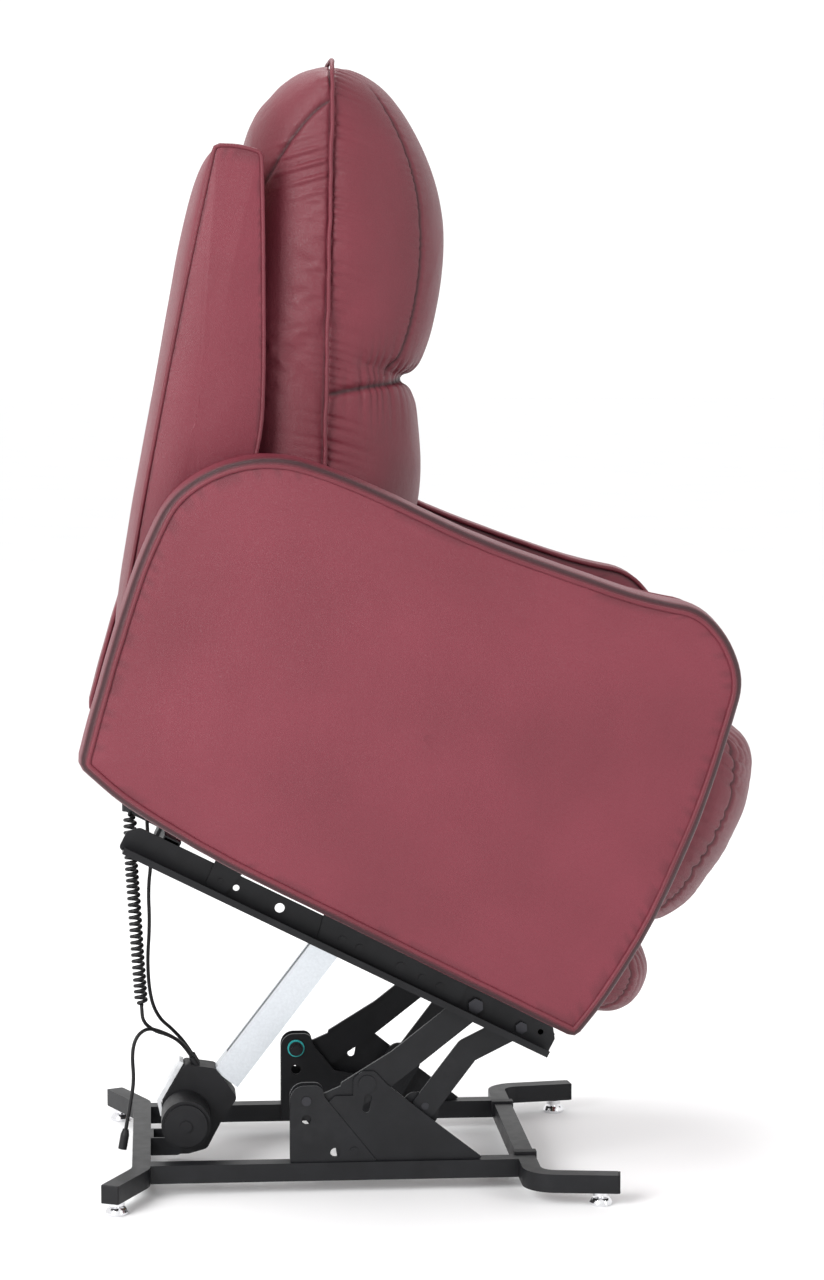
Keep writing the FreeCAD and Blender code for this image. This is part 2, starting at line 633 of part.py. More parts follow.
cross_tube = cross_rod(drive_tube[0], drive_tube[1], -side_plate_y[0], side_plate_y[0], drive_tube_radius)
cross_tube_bore = cross_rod(drive_tube[0], drive_tube[1], -side_plate_y[0] - 1.0, side_plate_y[0] + 1.0,
                            drive_tube_radius - 2.0)
save_raised("drive_cross_tube",
            cross_tube.multiFuse(both_sides(drive_lug)).removeSplitter().cut(cross_tube_bore))

# wooden seat box and its springs
box_low, box_high = 272.0, 376.0
wood_y = (191.0, 211.0)




def seat_box_side(side):
    return box(-455.0, 20.0, side * wood_y[0], side * wood_y[1], box_low, box_high)


save_raised("seat_box_sides", *both_sides(seat_box_side))
save_raised("seat_box_ends", box(0.0, 20.0, -wood_y[0], wood_y[0], box_low + 20.0, box_high),
            box(-455.0, -435.0, -wood_y[0], wood_y[0], 330.0, box_high))


def seat_spring(y):
    """Zigzag spring wire between the front and rear of the seat box."""
    pitch = 20.8
    reach = 20.0
    wire = 3.5
    solids = []
    count = 20
    u0 = -435.0
    for index in range(count + 1):
        u = u0 + index * pitch * 0.9964
        u = min(max(u, u0), -wire)
        solids.append(box(u, u + wire, y - reach, y + reach, 366.0, 366.0 + wire))
        if index < count:
            edge = y + reach - wire if index % 2 else y - reach
            solids.append(box(u, u + pitch + wire, edge, edge + wire, 366.0, 366.0 + wire))
    zigzag = solids[0].multiFuse(solids[1:]).removeSplitter()
    return zigzag.common(box(u0, 0.0, y - 40.0, y + 40.0, 360.0, 375.0))


save_raised("seat_springs", *[seat_spring(y) for y in (-150.0, -75.0, 0.0, 75.0, 150.0)])
seat_cushion_outline = [(-428.0, 382.0), (-428.0, 428.0), (-396.0, 446.0), (-340.0, 458.0),
                        (-120.0, 470.0), (40.0, 480.0), (84.0, 466.0), (84.0, 384.0)]
save_raised("seat_cushion", plate(seat_cushion_outline, -cushion_half, cushion_half,
                                  [8, 14, 20, 40, 200, 60, 30, 10]))

# padded arms
arm_outline = [(104.0, 44.0), (-430.0, 48.0), (-632.0, 80.0), (-686.0, 395.0), (-668.0, 560.0),
               (-300.0, 572.0), (28.0, 624.0), (88.0, 556.0), (121.0, 300.0)]
arm_radii = [14.0, 300.0, 18.0, 160.0, 92.0, 500.0, 62.0, 60.0, 420.0]


def padded_arm(side):
    return plate(arm_outline, side * arm_inner_y, side * arm_outer_y, arm_radii)


handset_u, handset_w = -90.0, 430.0
pocket_depth = 14.0
pocket_space = box(handset_u - 32.0, handset_u + 32.0, arm_outer_y - pocket_depth, arm_outer_y + 20.0,
                   handset_w - 90.0, handset_w + 84.0)
save_raised("arm_right", padded_arm(-1))
save_raised("arm_left", padded_arm(1).cut(pocket_space))


def arm_brackets(side):
    """Steel bars that carry an arm from the side plate."""
    solids = []
    for u in (-410.0, -40.0):
        bar = box(u - 20.0, u + 20.0, side * side_plate_y[1], side * arm_inner_y, 178.0, 198.0)
        hollow = box(u - 17.0, u + 17.0, side * side_plate_y[1], side * arm_inner_y, 181.0, 195.0)
        solids.append(bar.cut(hollow))
    return solids


save_raised("arm_brackets", *arm_brackets(-1), *arm_brackets(1))

# handset in its recess on the outside of the left arm
handset_face = arm_outer_y + 4.0
shell_outer = box(handset_u - 25.0, handset_u + 25.0, arm_outer_y - pocket_depth,
                  handset_face, handset_w - 82.0, handset_w + 80.0)
upright = [edge for edge in shell_outer.Edges
           if abs(edge.Vertexes[0].Y - edge.Vertexes[1].Y) > 1.0]
shell_outer = shell_outer.makeFillet(12.0, upright)
button_places = [(du, dw) for dw in (20.0, 50.0) for du in (-11.0, 11.0)]
button_radius = 7.5
button_depth = 4.0
button_stand = 2.0
button_travel = 1.5
handset = shell_outer
for du, dw in button_places:
    handset = handset.cut(cross_rod(handset_u + du, handset_w + dw, handset_face - button_depth,
                                    handset_face + 1.0, button_radius + 0.3))
save_raised("handset_shell", handset)
button_names = ["button_lower", "button_raise", "button_recline", "button_legrest"]
for button_name, (du, dw) in zip(button_names, button_places):
    save_raised("handset_" + button_name,
                cross_rod(handset_u + du, handset_w + dw,
                          handset_face - button_depth + button_travel + 0.5,
                          handset_face + button_stand, button_radius))

# recline actuator inside the seat box, beside the lift actuator
recline_y = 110.0
lever_reach = 70.0
lever_swing = 17.5
lever_pin = (back_pivot[0] - lever_reach * math.sin(math.radians(lever_swing)),
             back_pivot[1] - lever_reach * math.cos(math.radians(lever_swing)))
recline_w = back_pivot[1] - lever_reach * (1.0 + math.cos(math.radians(lever_swing))) / 2.0
recline_motor = plate([(-150.0, recline_w - 30.0), (-150.0, recline_w + 30.0), (-95.0, recline_w + 30.0),
                       (-95.0, recline_w - 30.0)], recline_y - 30.0, recline_y + 30.0, 8.0)
recline_can = rod((-122.0, recline_y + 29.0, recline_w), (-122.0, recline_y + 66.0, recline_w), 24.0)
tube_bore = rod((-401.0, recline_y, recline_w), (-155.0, recline_y, recline_w), 9.0)
recline_tube = rod((-400.0, recline_y, recline_w), (-149.0, recline_y, recline_w), 15.0)
save_raised("recline_actuator",
            recline_motor.multiFuse([recline_can, recline_tube]).removeSplitter().cut(tube_bore))
recline_rod = rod((lever_pin[0] + 12.0, recline_y, recline_w), (-330.0, recline_y, recline_w), 8.9)
rod_eye = cross_rod(lever_pin[0], recline_w, recline_y - 8.0, recline_y + 8.0, 13.0)
save_raised("recline_rod", recline_rod.fuse(rod_eye).removeSplitter()
            .cut(cross_rod(lever_pin[0], recline_w, recline_y - 9.0, recline_y + 9.0, 7.5)))
mount_tube_w = recline_w + 30.0 + 12.5
hanger = cross_rod(-122.0, mount_tube_w, -side_plate_y[0], side_plate_y[0], 12.5)
save_raised("recline_hanger_tube",
            hanger.cut(cross_rod(-122.0, mount_tube_w, -side_plate_y[1], side_plate_y[1], 10.5)))


# ---- backrest, in its own axes: n forward from the rear face, v up it ----
def back_plate(outline, y0, y1, radii=0.0):
    return on_back(plate(outline, y0, y1, radii))


wing_y = (250.0, 268.0)
wing_outline = [(2.0, 0.0), (2.0, 500.0), (10.0, 694.0), (72.0, 697.0), (104.0, 520.0),
                (141.0, 330.0), (120.0, 178.0), (60.0, 150.0), (34.0, 0.0)]
save_raised("back_rear_panel", back_plate([(0.0, 0.0), (0.0, 688.0), (26.0, 688.0), (26.0, 0.0)],
                                          -249.6, 249.6, [6, 6, 2, 2]))
for side_name, side in (("right", -1), ("left", 1)):
    save_raised("back_wing_" + side_name,
                back_plate(wing_outline, *span(side, wing_y), [6, 300, 12, 12, 300, 60, 20, 20, 8]))


def back_upright(side):
    return back_plate([(26.4, 172.0), (26.4, 680.0), (46.4, 680.0), (46.4, 172.0)],
                      side * 195.0, side * 215.0)


def back_rail(v0, v1):
    return back_plate([(26.4, v0), (26.4, v1), (46.4, v1), (46.4, v0)], -195.0, 195.0)


save_raised("back_uprights", *both_sides(back_upright))
save_raised("back_rails", back_rail(620.0, 680.0), back_rail(276.0, 336.0))


def back_hinge_plate(side):
    """Steel plate that hangs the back upright on the recline hinge."""
    outline = [(back_pivot[0] - 14.0, back_pivot[1] - 14.0), (-640.0, 350.0), (-668.0, 396.0),
               (-690.0, 470.0), (-676.0, 474.0), (-650.0, 408.0),
               (back_pivot[0] + 14.0, back_pivot[1] + 15.0), (back_pivot[0] + 14.0, back_pivot[1] - 14.0)]
    return plate(outline, side * 191.0, side * 195.0, [10, 20, 20, 5, 5, 20, 12, 12],
                 [(back_pivot[0], back_pivot[1], 5.0 + pin_gap)])


save_raised("back_hinge_plates", *both_sides(back_hinge_plate))


lever_pin_radius = 5.0
torque_tube = cross_rod(back_pivot[0], back_pivot[1], -181.0, 181.0, 11.0)
lever_sides = []
for y0, y1 in ((recline_y - 14.0, recline_y - 9.0), (recline_y + 9.0, recline_y + 14.0)):
    lever_sides.append(strap([back_pivot, lever_pin], 13.0, y0, y1))
lever_bolt = cross_rod(lever_pin[0], lever_pin[1], recline_y - 14.0, recline_y + 14.0, lever_pin_radius)
save_raised("recline_torque_tube", torque_tube.multiFuse(lever_sides + [lever_bolt]).removeSplitter())

pillow_outline = [(48.0, 452.0), (60.0, 745.0), (74.0, 800.0), (125.0, 845.0), (200.0, 848.0),
                  (285.0, 800.0), (345.0, 660.0), (354.0, 520.0), (322.0, 448.0)]
pillow_radii = [20, 60, 40, 60, 60, 60, 120, 50, 30]
save_raised("back_pillow", back_plate(pillow_outline, -248.0, 248.0, pillow_radii))
lumbar_outline = [(92.0, 178.0), (72.0, 440.0), (324.0, 438.0), (360.0, 390.0), (376.0, 318.0),
                  (372.0, 260.0), (342.0, 205.0), (250.0, 178.0)]
save_raised("back_lumbar_cushion", back_plate(lumbar_outline, -248.0, 248.0,
                                              [20, 20, 30, 40, 60, 40, 40, 40]))

# ---- legrest ------------------------------------------------------------
board_u = (88.0, 100.0)


def legrest_link(side):
    return strap([legrest_pivot, legrest_joint], 11.0, *span(side, legrest_link_y),
                 [(legrest_pivot[0], legrest_pivot[1], 5.0 + pin_gap),
                  (legrest_joint[0], legrest_joint[1], 5.0 + pin_gap)])


def legrest_bracket(side):
    """Bracket under the board, with the stud that turns in the link."""
    outline = [(legrest_joint[0] - 12.0, legrest_joint[1] - 14.0),
               (legrest_joint[0] - 12.0, legrest_joint[1] + 13.0),
               (board_u[0], legrest_joint[1] + 13.0), (board_u[0], 230.0), (board_u[0] - 14.0, 230.0)]
    web = plate(outline, *span(side, legrest_bracket_y), [11, 11, 1, 1, 5])
    stud = cross_rod(legrest_joint[0], legrest_joint[1], side * 188.4, side * 199.0, 5.0)
    head = cross_rod(legrest_joint[0], legrest_joint[1], side * 188.4, side * 190.6, 8.0)
    return web.multiFuse([stud, head]).removeSplitter()


save_raised("legrest_links", *both_sides(legrest_link))
save_raised("legrest_brackets", *both_sides(legrest_bracket))
save_raised("legrest_board", box(board_u[0], board_u[1], -250.0, 250.0, 60.0, 430.0))
calf_pad_outline = [(100.0, 182.0), (100.0, 496.0), (150.0, 512.0), (205.0, 488.0), (236.0, 420.0),
                    (236.0, 330.0), (220.0, 240.0), (190.0, 186.0)]
save_raised("legrest_calf_pad", plate(calf_pad_outline, -cushion_half, cushion_half,
                                      [6, 20, 40, 50, 60, 60, 50, 20]))
foot_pad_outline = [(100.0, 58.0), (100.0, 176.0), (180.0, 176.0), (218.0, 148.0), (222.0, 104.0),
                    (200.0, 66.0), (165.0, 54.0)]
save_raised("legrest_foot_pad", plate(foot_pad_outline, -cushion_half, cushion_half,
                                      [6, 6, 24, 30, 30, 30, 20]))

# ---- cords between the lift motor and the seat --------------------------
cord_diameter = 5.5
coil_diameter = 19.5
plug_radius = 4.5
plug_length = 17.0
plug_direction = Vector(-0.5, 0.0, math.sqrt(0.75))
plug_y = {"handset": -2.0, "supply": -15.0, "recline": 11.0}
plug_root = (x0 + 112.0, 140.0)


def plug_end(name):
    return Vector(plug_root[0], plug_y[name], plug_root[1]) + plug_direction * plug_length


plugs = []
for name, y in plug_y.items():
    root = Vector(plug_root[0], y, plug_root[1]) - plug_direction * 12.0
    body = Part.makeCylinder(plug_radius, plug_length + 12.0, root, plug_direction)
    plugs.append(body.cut(gearbox))
save("motor_plugs", *[max(plug.Solids, key=lambda s: s.BoundBox.ZMax) for plug in plugs])

grommet_z = 512.0
coil_y = -60.0
cable_y = -38.0
coil_top = (x0 + 20.0, coil_y)
cable_top = (x0 + 43.0, cable_y)
bracket_plate = box(-560.0, -482.0, -80.0, -22.0, 56.0, 60.0)
bracket_leg = box(-486.0, -482.0, -80.0, -22.0, 0.0, 60.0)
cable_bracket = raised(bracket_plate.fuse(bracket_leg).removeSplitter())
above_bracket = raised(box(-700.0, -300.0, -200.0, 200.0, 58.0, 400.0))
for (x, y), radius in ((coil_top, 11.0), (cable_top, 6.0)):
    grommet = Part.makeCylinder(radius, 120.0, Vector(x, y, grommet_z)).cut(above_bracket)
    cable_bracket = cable_bracket.fuse(grommet)
save("cable_bracket", cable_bracket.removeSplitter())


def after_plug(name, reach):
    point = plug_end(name) + plug_direction * reach
    return tuple(point)


coil_bottom = (x0 + 34.0, coil_y, 236.0)
coil_route = [(coil_top[0], coil_top[1], grommet_z), (x0 + 20.0, coil_y, 452.0),
              (x0 + 24.5, coil_y - 1.0, 390.0), (x0 + 28.0, coil_y + 1.0, 325.0),
              (x0 + 31.0, coil_y + 1.0, 280.0), coil_bottom]
cord_tube("handset_cord_coil", coil_route, coil_diameter)
coil_heading = (Vector(*coil_route[-1]) - Vector(*coil_route[-2])).normalize()
tail_start = Vector(*coil_bottom) + coil_heading * 20.0
tail_route = [coil_bottom, tuple(tail_start), (x0 + 52.0, -48.0, 200.0),
              (x0 + 72.0, -28.0, 190.0), after_plug("handset", 18.0), tuple(plug_end("handset"))]
cord_tube("handset_cord_tail", tail_route, cord_diameter)
cable_route = [tuple(plug_end("recline")), after_plug("recline", 17.0), (x0 + 76.0, 0.0, 193.0),
               (x0 + 58.0, -18.0, 212.0), (x0 + 46.0, -34.0, 243.0), (x0 + 42.0, -40.0, 295.0),
               (x0 + 46.0, -39.0, 350.0), (x0 + 44.0, -41.0, 400.0), (x0 + 49.0, -40.0, 440.0),
               (x0 + 43.0, cable_y, 478.0), (cable_top[0], cable_top[1], grommet_z)]
cord_tube("recline_cable", cable_route, cord_diameter)
supply_route = [tuple(plug_end("supply")), after_plug("supply", 16.0), (x0 + 79.0, -30.0, 187.0),
                (x0 + 60.0, -54.0, 201.0), (x0 + 42.0, -71.0, 210.0), (x0 + 26.0, -80.0, 200.0),
                (x0 + 20.0, -82.0, 176.0), (x0 + 23.0, -80.0, 138.0), (x0 + 17.0, -80.0, 103.0),
                (x0 + 11.0, -81.0, 70.0)]
cord_tube("supply_lead", supply_route, cord_diameter)
connector_top = Vector(*supply_route[-1])
connector_axis = (connector_top - Vector(*supply_route[-2])).normalize()
connector_neck = Part.makeCone(4.0, 6.0, 8.0, connector_top, connector_axis)
connector_body = Part.makeCylinder(6.0, 20.0, connector_top + connector_axis * 8.0, connector_axis)
save("supply_connector", connector_neck.fuse(connector_body).removeSplitter())
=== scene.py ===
import json
import math
import bmesh
import bpy
import numpy as np
from mathutils import Matrix, Vector


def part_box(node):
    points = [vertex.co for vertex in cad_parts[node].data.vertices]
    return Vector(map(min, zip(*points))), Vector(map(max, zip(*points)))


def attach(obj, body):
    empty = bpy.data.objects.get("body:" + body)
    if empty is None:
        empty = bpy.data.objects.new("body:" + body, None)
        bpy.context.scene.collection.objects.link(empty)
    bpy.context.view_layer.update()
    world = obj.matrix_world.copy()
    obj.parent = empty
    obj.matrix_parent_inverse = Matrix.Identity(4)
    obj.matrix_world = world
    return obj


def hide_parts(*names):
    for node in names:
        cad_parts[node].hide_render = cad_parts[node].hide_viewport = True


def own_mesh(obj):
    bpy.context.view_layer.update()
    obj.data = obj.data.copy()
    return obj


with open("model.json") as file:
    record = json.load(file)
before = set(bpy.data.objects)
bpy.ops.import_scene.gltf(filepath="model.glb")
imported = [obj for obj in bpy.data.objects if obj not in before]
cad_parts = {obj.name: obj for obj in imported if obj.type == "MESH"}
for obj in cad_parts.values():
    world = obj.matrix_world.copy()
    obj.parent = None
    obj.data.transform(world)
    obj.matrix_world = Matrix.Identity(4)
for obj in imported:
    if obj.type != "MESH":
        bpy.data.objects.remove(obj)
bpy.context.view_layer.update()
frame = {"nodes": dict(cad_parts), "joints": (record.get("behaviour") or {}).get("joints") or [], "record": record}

joints = {joint["name"]: joint for joint in frame["joints"]}
nodes = frame["nodes"]

# ---- the seat frame's and the backrest's own axes, in millimetres --------
seat_origin = Vector(joints["seat_tilt"]["pos_m"]) * 1000.0
along_seat = Vector(joints["recline_rod_slide"]["axis"]).normalized()
back_lean = math.radians(16.0)
back_foot = (-647.0, 205.0)
arm_y = [abs(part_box("arm_right")[1][1]) * 1000.0, abs(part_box("arm_right")[0][1]) * 1000.0]
cushion_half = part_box("seat_cushion")[1][1] * 1000.0
pillow_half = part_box("back_pillow")[1][1] * 1000.0


def seat_axes(points):
    """(u, y, w) of the seat frame to the row frame, both in millimetres."""
    u, y, w = np.asarray(points, float).T
    x = seat_origin.x + u * along_seat.x - w * along_seat.z
    z = seat_origin.z + u * along_seat.z + w * along_seat.x
    return np.stack([x, y, z], axis=1)


def back_axes(points):
    """(n, y, v) of the backrest to the row frame: n forward of the rear face, v up it."""
    n, y, v = np.asarray(points, float).T
    u = back_foot[0] + n * math.cos(back_lean) - v * math.sin(back_lean)
    w = back_foot[1] + n * math.sin(back_lean) + v * math.cos(back_lean)
    return seat_axes(np.stack([u, y, w], axis=1))


# ---- outlines ------------------------------------------------------------
def smooth_outline(points, radii=(), closed=True):
    """Outline whose corners are arcs as large as their runs allow, or of the radius given."""
    points = [Vector(p) for p in points]
    radii = dict(radii)
    count = len(points)
    out = []
    for i, here in enumerate(points):
        if not closed and i in (0, count - 1):
            out.append(here)
            continue
        before = points[i - 1] - here
        after = points[(i + 1) % count] - here
        turn = math.pi - before.angle(after)
        reach = 0.49 * min(before.length, after.length)
        if i in radii:
            reach = min(reach, radii[i] * math.tan(turn / 2.0))
        a = here + before.normalized() * reach
        b = here + after.normalized() * reach
        steps = max(2, int(math.degrees(turn) / 5.0) + 2)
        for k in range(steps + 1):
            t = k / steps
            out.append(a * (1 - t) ** 2 + here * (2 * t * (1 - t)) + b * t ** 2)
    return np.array([tuple(p) for p in out])


def resample(points, count, closed=True):
    points = np.asarray(points, float)
    if closed:
        points = np.vstack([points, points[:1]])
    lengths = np.linalg.norm(np.diff(points, axis=0), axis=1)
    s = np.concatenate([[0.0], np.cumsum(lengths)])
    at = np.linspace(0.0, s[-1], count + 1)[:-1] if closed else np.linspace(0.0, s[-1], count)
    return np.stack([np.interp(at, s, points[:, k]) for k in range(points.shape[1])], axis=1)


def waves(x, seed=0.0):
    """Smooth uneven line between about -1 and 1."""
    x = np.asarray(x, float)
    return (np.sin(1.31 * x + seed) + 0.7 * np.sin(2.57 * x + 2.1 * seed + 1.0)
            + 0.4 * np.sin(5.13 * x + 0.7 * seed + 2.0)) / 2.1


# ---- meshes --------------------------------------------------------------
def mesh_object(name, points, faces, smooth=True):
    mesh = bpy.data.meshes.new(name)
    mesh.from_pydata([tuple(p) for p in np.asarray(points, float) / 1000.0], [], faces)
    mesh.update()
    if smooth:
        mesh.polygons.foreach_set("use_smooth", [True] * len(mesh.polygons))
    obj = bpy.data.objects.new(name, mesh)
    bpy.context.scene.collection.objects.link(obj)
    return obj


def grid_faces(rows, columns, wrap_rows=False, wrap_columns=True):
    faces = []
    for i in range(rows if wrap_rows else rows - 1):
        for j in range(columns if wrap_columns else columns - 1):
            a = i * columns + j
            b = i * columns + (j + 1) % columns
            c = ((i + 1) % rows) * columns + (j + 1) % columns
            d = ((i + 1) % rows) * columns + j
            faces.append((a, b, c, d))
    return faces


def get_points(obj):
    co = np.empty(len(obj.data.vertices) * 3, np.float32)
    obj.data.vertices.foreach_get("co", co)
    return co.reshape(-1, 3).astype(float) * 1000.0


def set_points(obj, points):
    obj.data.vertices.foreach_set("co", (np.asarray(points, float) / 1000.0).astype(np.float32).ravel())
    obj.data.update()


def get_normals(obj):
    out = np.empty(len(obj.data.vertices) * 3, np.float32)
    obj.data.vertices.foreach_get("normal", out)
    return out.reshape(-1, 3).astype(float)


def set_attribute(obj, name, values):
    attribute = obj.data.attributes.get(name) or obj.data.attributes.new(name, "FLOAT", "POINT")
    attribute.data.foreach_set("value", np.clip(values, 0.0, 1.0).astype(np.float32))


def apply_modifiers(obj):
    depsgraph = bpy.context.evaluated_depsgraph_get()
    mesh = bpy.data.meshes.new_from_object(obj.evaluated_get(depsgraph))
    old = obj.data
    obj.modifiers.clear()
    obj.data = mesh
    bpy.data.meshes.remove(old)
    mesh.polygons.foreach_set("use_smooth", [True] * len(mesh.polygons))
    mesh.update()


def fix_normals(obj):
    bm = bmesh.new()
    bm.from_mesh(obj.data)
    bmesh.ops.remove_doubles(bm, verts=bm.verts, dist=0.0004)
    bmesh.ops.recalc_face_normals(bm, faces=bm.faces)
    bm.to_mesh(obj.data)
    bm.free()
    obj.data.update()


def tube_along(name, path, radius, sides=10, closed=False, squeeze=1.0):
    """Round tube that follows the points."""
    path = np.asarray(path, float)
    count = len(path)
    if closed:
        tangents = np.roll(path, -1, axis=0) - np.roll(path, 1, axis=0)
    else:
        tangents = np.gradient(path, axis=0)
    tangents /= np.linalg.norm(tangents, axis=1)[:, None]
    normal = np.cross(tangents[0], [0.0, 1.0, 0.0])
    if np.linalg.norm(normal) < 0.2:
        normal = np.cross(tangents[0], [1.0, 0.0, 0.0])
    points = []
    radii = np.broadcast_to(np.asarray(radius, float), (count,))
    for i in range(count):
        normal = normal - tangents[i] * np.dot(normal, tangents[i])
        normal /= np.linalg.norm(normal)
        other = np.cross(tangents[i], normal)
        for k in range(sides):
            angle = 2 * math.pi * k / sides
            points.append(path[i] + radii[i] * (math.cos(angle) * normal + squeeze * math.sin(angle) * other))
    faces = grid_faces(count, sides, wrap_rows=closed)
    if not closed:
        faces.append(tuple(range(sides - 1, -1, -1)))
        faces.append(tuple((count - 1) * sides + k for k in range(sides)))
    obj = mesh_object(name, points, faces)
    fix_normals(obj)
    return obj


# ---- materials -----------------------------------------------------------
class Nodes:
    """Short way to build a material's node tree."""

    def __init__(self, name):
        self.material = bpy.data.materials.new(name)
        self.material.use_nodes = True
        self.tree = self.material.node_tree
        self.shader = self.tree.nodes["Principled BSDF"]
        self.position = self.add("ShaderNodeTexCoord").outputs["Object"]

    def add(self, kind, **values):
        node = self.tree.nodes.new(kind)
        for key, value in values.items():
            if key in node.inputs:
                node.inputs[key].default_value = value
            else:
                setattr(node, key, value)
        return node

    def link(self, a, b):
        self.tree.links.new(a, b)

    def noise(self, scale, detail=4.0, rough=0.55, stretch=None):
        node = self.add("ShaderNodeTexNoise", Scale=scale, Detail=detail, Roughness=rough)
        self.link(self.stretched(stretch), node.inputs["Vector"])
        return node.outputs["Fac"]

    def stretched(self, stretch):
        if stretch is None:
            return self.position
        mapping = self.add("ShaderNodeMapping")
        mapping.inputs["Scale"].default_value = stretch
        self.link(self.position, mapping.inputs["Vector"])
        return mapping.outputs["Vector"]

    def cells(self, scale, feature="DISTANCE_TO_EDGE"):
        node = self.add("ShaderNodeTexVoronoi", Scale=scale)
        node.feature = feature
        self.link(self.position, node.inputs["Vector"])
        return node.outputs["Distance"]

    def ramp(self, factor, stops):
        node = self.add("ShaderNodeValToRGB")
        ramp = node.color_ramp
        while len(ramp.elements) < len(stops):
            ramp.elements.new(0.5)
        for element, (place, colour) in zip(ramp.elements, stops):
            element.position = place
            element.color = tuple(colour) + (1.0,) if len(colour) == 3 else colour
        self.link(factor, node.inputs["Fac"])
        return node.outputs["Color"]

    def span(self, factor, low, high, start=0.0, end=1.0):
        node = self.add("ShaderNodeMapRange")
        node.inputs["From Min"].default_value = start
        node.inputs["From Max"].default_value = end
        node.inputs["To Min"].default_value = low
        node.inputs["To Max"].default_value = high
        self.link(factor, node.inputs["Value"])
        return node.outputs["Result"]

    def sum(self, a, b, operation="ADD"):
        node = self.add("ShaderNodeMath")
        node.operation = operation
        for slot, value in zip(node.inputs, (a, b)):
            if isinstance(value, (int, float)):
                slot.default_value = value
            else:
                self.link(value, slot)
        return node.outputs[0]

    def bump(self, height, distance, strength=1.0, below=None):
        node = self.add("ShaderNodeBump", Strength=strength, Distance=distance)
        self.link(height, node.inputs["Height"])
        if below is not None:
            self.link(below, node.inputs["Normal"])
        return node.outputs["Normal"]

    def set(self, **values):
        for key, value in values.items():
            socket = self.shader.inputs[key.replace("_", " ")]
            if isinstance(value, (int, float, tuple)):
                socket.default_value = value
            else:
                self.link(value, socket)


def leather_material(name, light, dark, seam_colour, wrinkle=0.5):
    m = Nodes(name)
    cloud = m.noise(5.5, 3.0, 0.5)
    tone = m.ramp(cloud, [(0.3, dark), (0.7, light)])
    seam = m.add("ShaderNodeAttribute")
    seam.attribute_name = "seam"
    mix = m.add("ShaderNodeMix")
    mix.data_type = "RGBA"
    m.link(seam.outputs["Fac"], mix.inputs["Factor"])
    m.link(tone, mix.inputs["A"])
    mix.inputs["B"].default_value = seam_colour + (1.0,)
    speck = m.ramp(m.cells(620.0), [(0.0, (0.72, 0.72, 0.72)), (0.22, (1.0, 1.0, 1.0))])
    shade = m.add("ShaderNodeMix")
    shade.data_type = "RGBA"
    shade.blend_type = "MULTIPLY"
    shade.inputs["Factor"].default_value = 0.55
    m.link(mix.outputs["Result"], shade.inputs["A"])
    m.link(speck, shade.inputs["B"])
    grain = m.ramp(m.cells(620.0), [(0.0, (0.0, 0.0, 0.0)), (0.3, (1.0, 1.0, 1.0))])
    fine = m.noise(1700.0, 2.0, 0.6)
    folds = m.noise(38.0, 6.0, 0.62, (1.0, 1.0, 0.55))
    normal = m.bump(folds, 0.0012 * wrinkle)
    normal = m.bump(grain, 0.00016, below=normal)
    normal = m.bump(fine, 0.00007, below=normal)
    rough = m.span(m.noise(24.0, 4.0), 0.36, 0.5)
    m.set(Base_Color=shade.outputs["Result"], Roughness=rough, Normal=normal, Specular_IOR_Level=0.3,
          Coat_Weight=0.02, Coat_Roughness=0.35)
    return m.material


def coat_material(name, colour, rough=(0.34, 0.5), grain=900.0, depth=0.00006, wear=0.5):
    m = Nodes(name)
    patch = m.noise(30.0, 5.0)
    lifted = tuple(min(1.0, c * 1.5 + 0.001) for c in colour)
    tone = m.ramp(patch, [(0.35, colour), (0.75, lifted)])
    dust = m.ramp(m.noise(9.0, 8.0, 0.7), [(0.58, (0.0, 0.0, 0.0)), (0.8, (wear, wear, wear))])
    mix = m.add("ShaderNodeMix")
    mix.data_type = "RGBA"
    m.link(dust, mix.inputs["Factor"])
    m.link(tone, mix.inputs["A"])
    mix.inputs["B"].default_value = tuple(min(1.0, c * 1.6 + 0.012) for c in colour) + (1.0,)
    m.set(Base_Color=mix.outputs["Result"], Roughness=m.span(m.noise(55.0, 5.0), rough[0], rough[1]),
          Normal=m.bump(m.noise(grain, 3.0, 0.6), depth), Specular_IOR_Level=0.25)
    return m.material


def metal_material(name, colour, rough, stretch=None, scale=220.0, depth=0.00003):
    m = Nodes(name)
    lines = m.noise(scale, 4.0, 0.6, stretch)
    tone = m.ramp(lines, [(0.3, tuple(c * 0.88 for c in colour)), (0.7, colour)])
    m.set(Base_Color=tone, Metallic=1.0, Roughness=m.span(lines, rough[0], rough[1]),
          Normal=m.bump(lines, depth))
    return m.material


def wood_material(name):
    m = Nodes(name)
    rings = m.noise(26.0, 6.0, 0.6, (0.25, 4.0, 4.0))
    tone = m.ramp(rings, [(0.25, (0.34, 0.22, 0.12)), (0.5, (0.55, 0.39, 0.23)), (0.8, (0.62, 0.47, 0.3))])
    m.set(Base_Color=tone, Roughness=m.span(rings, 0.5, 0.7), Normal=m.bump(rings, 0.0003))
    return m.material


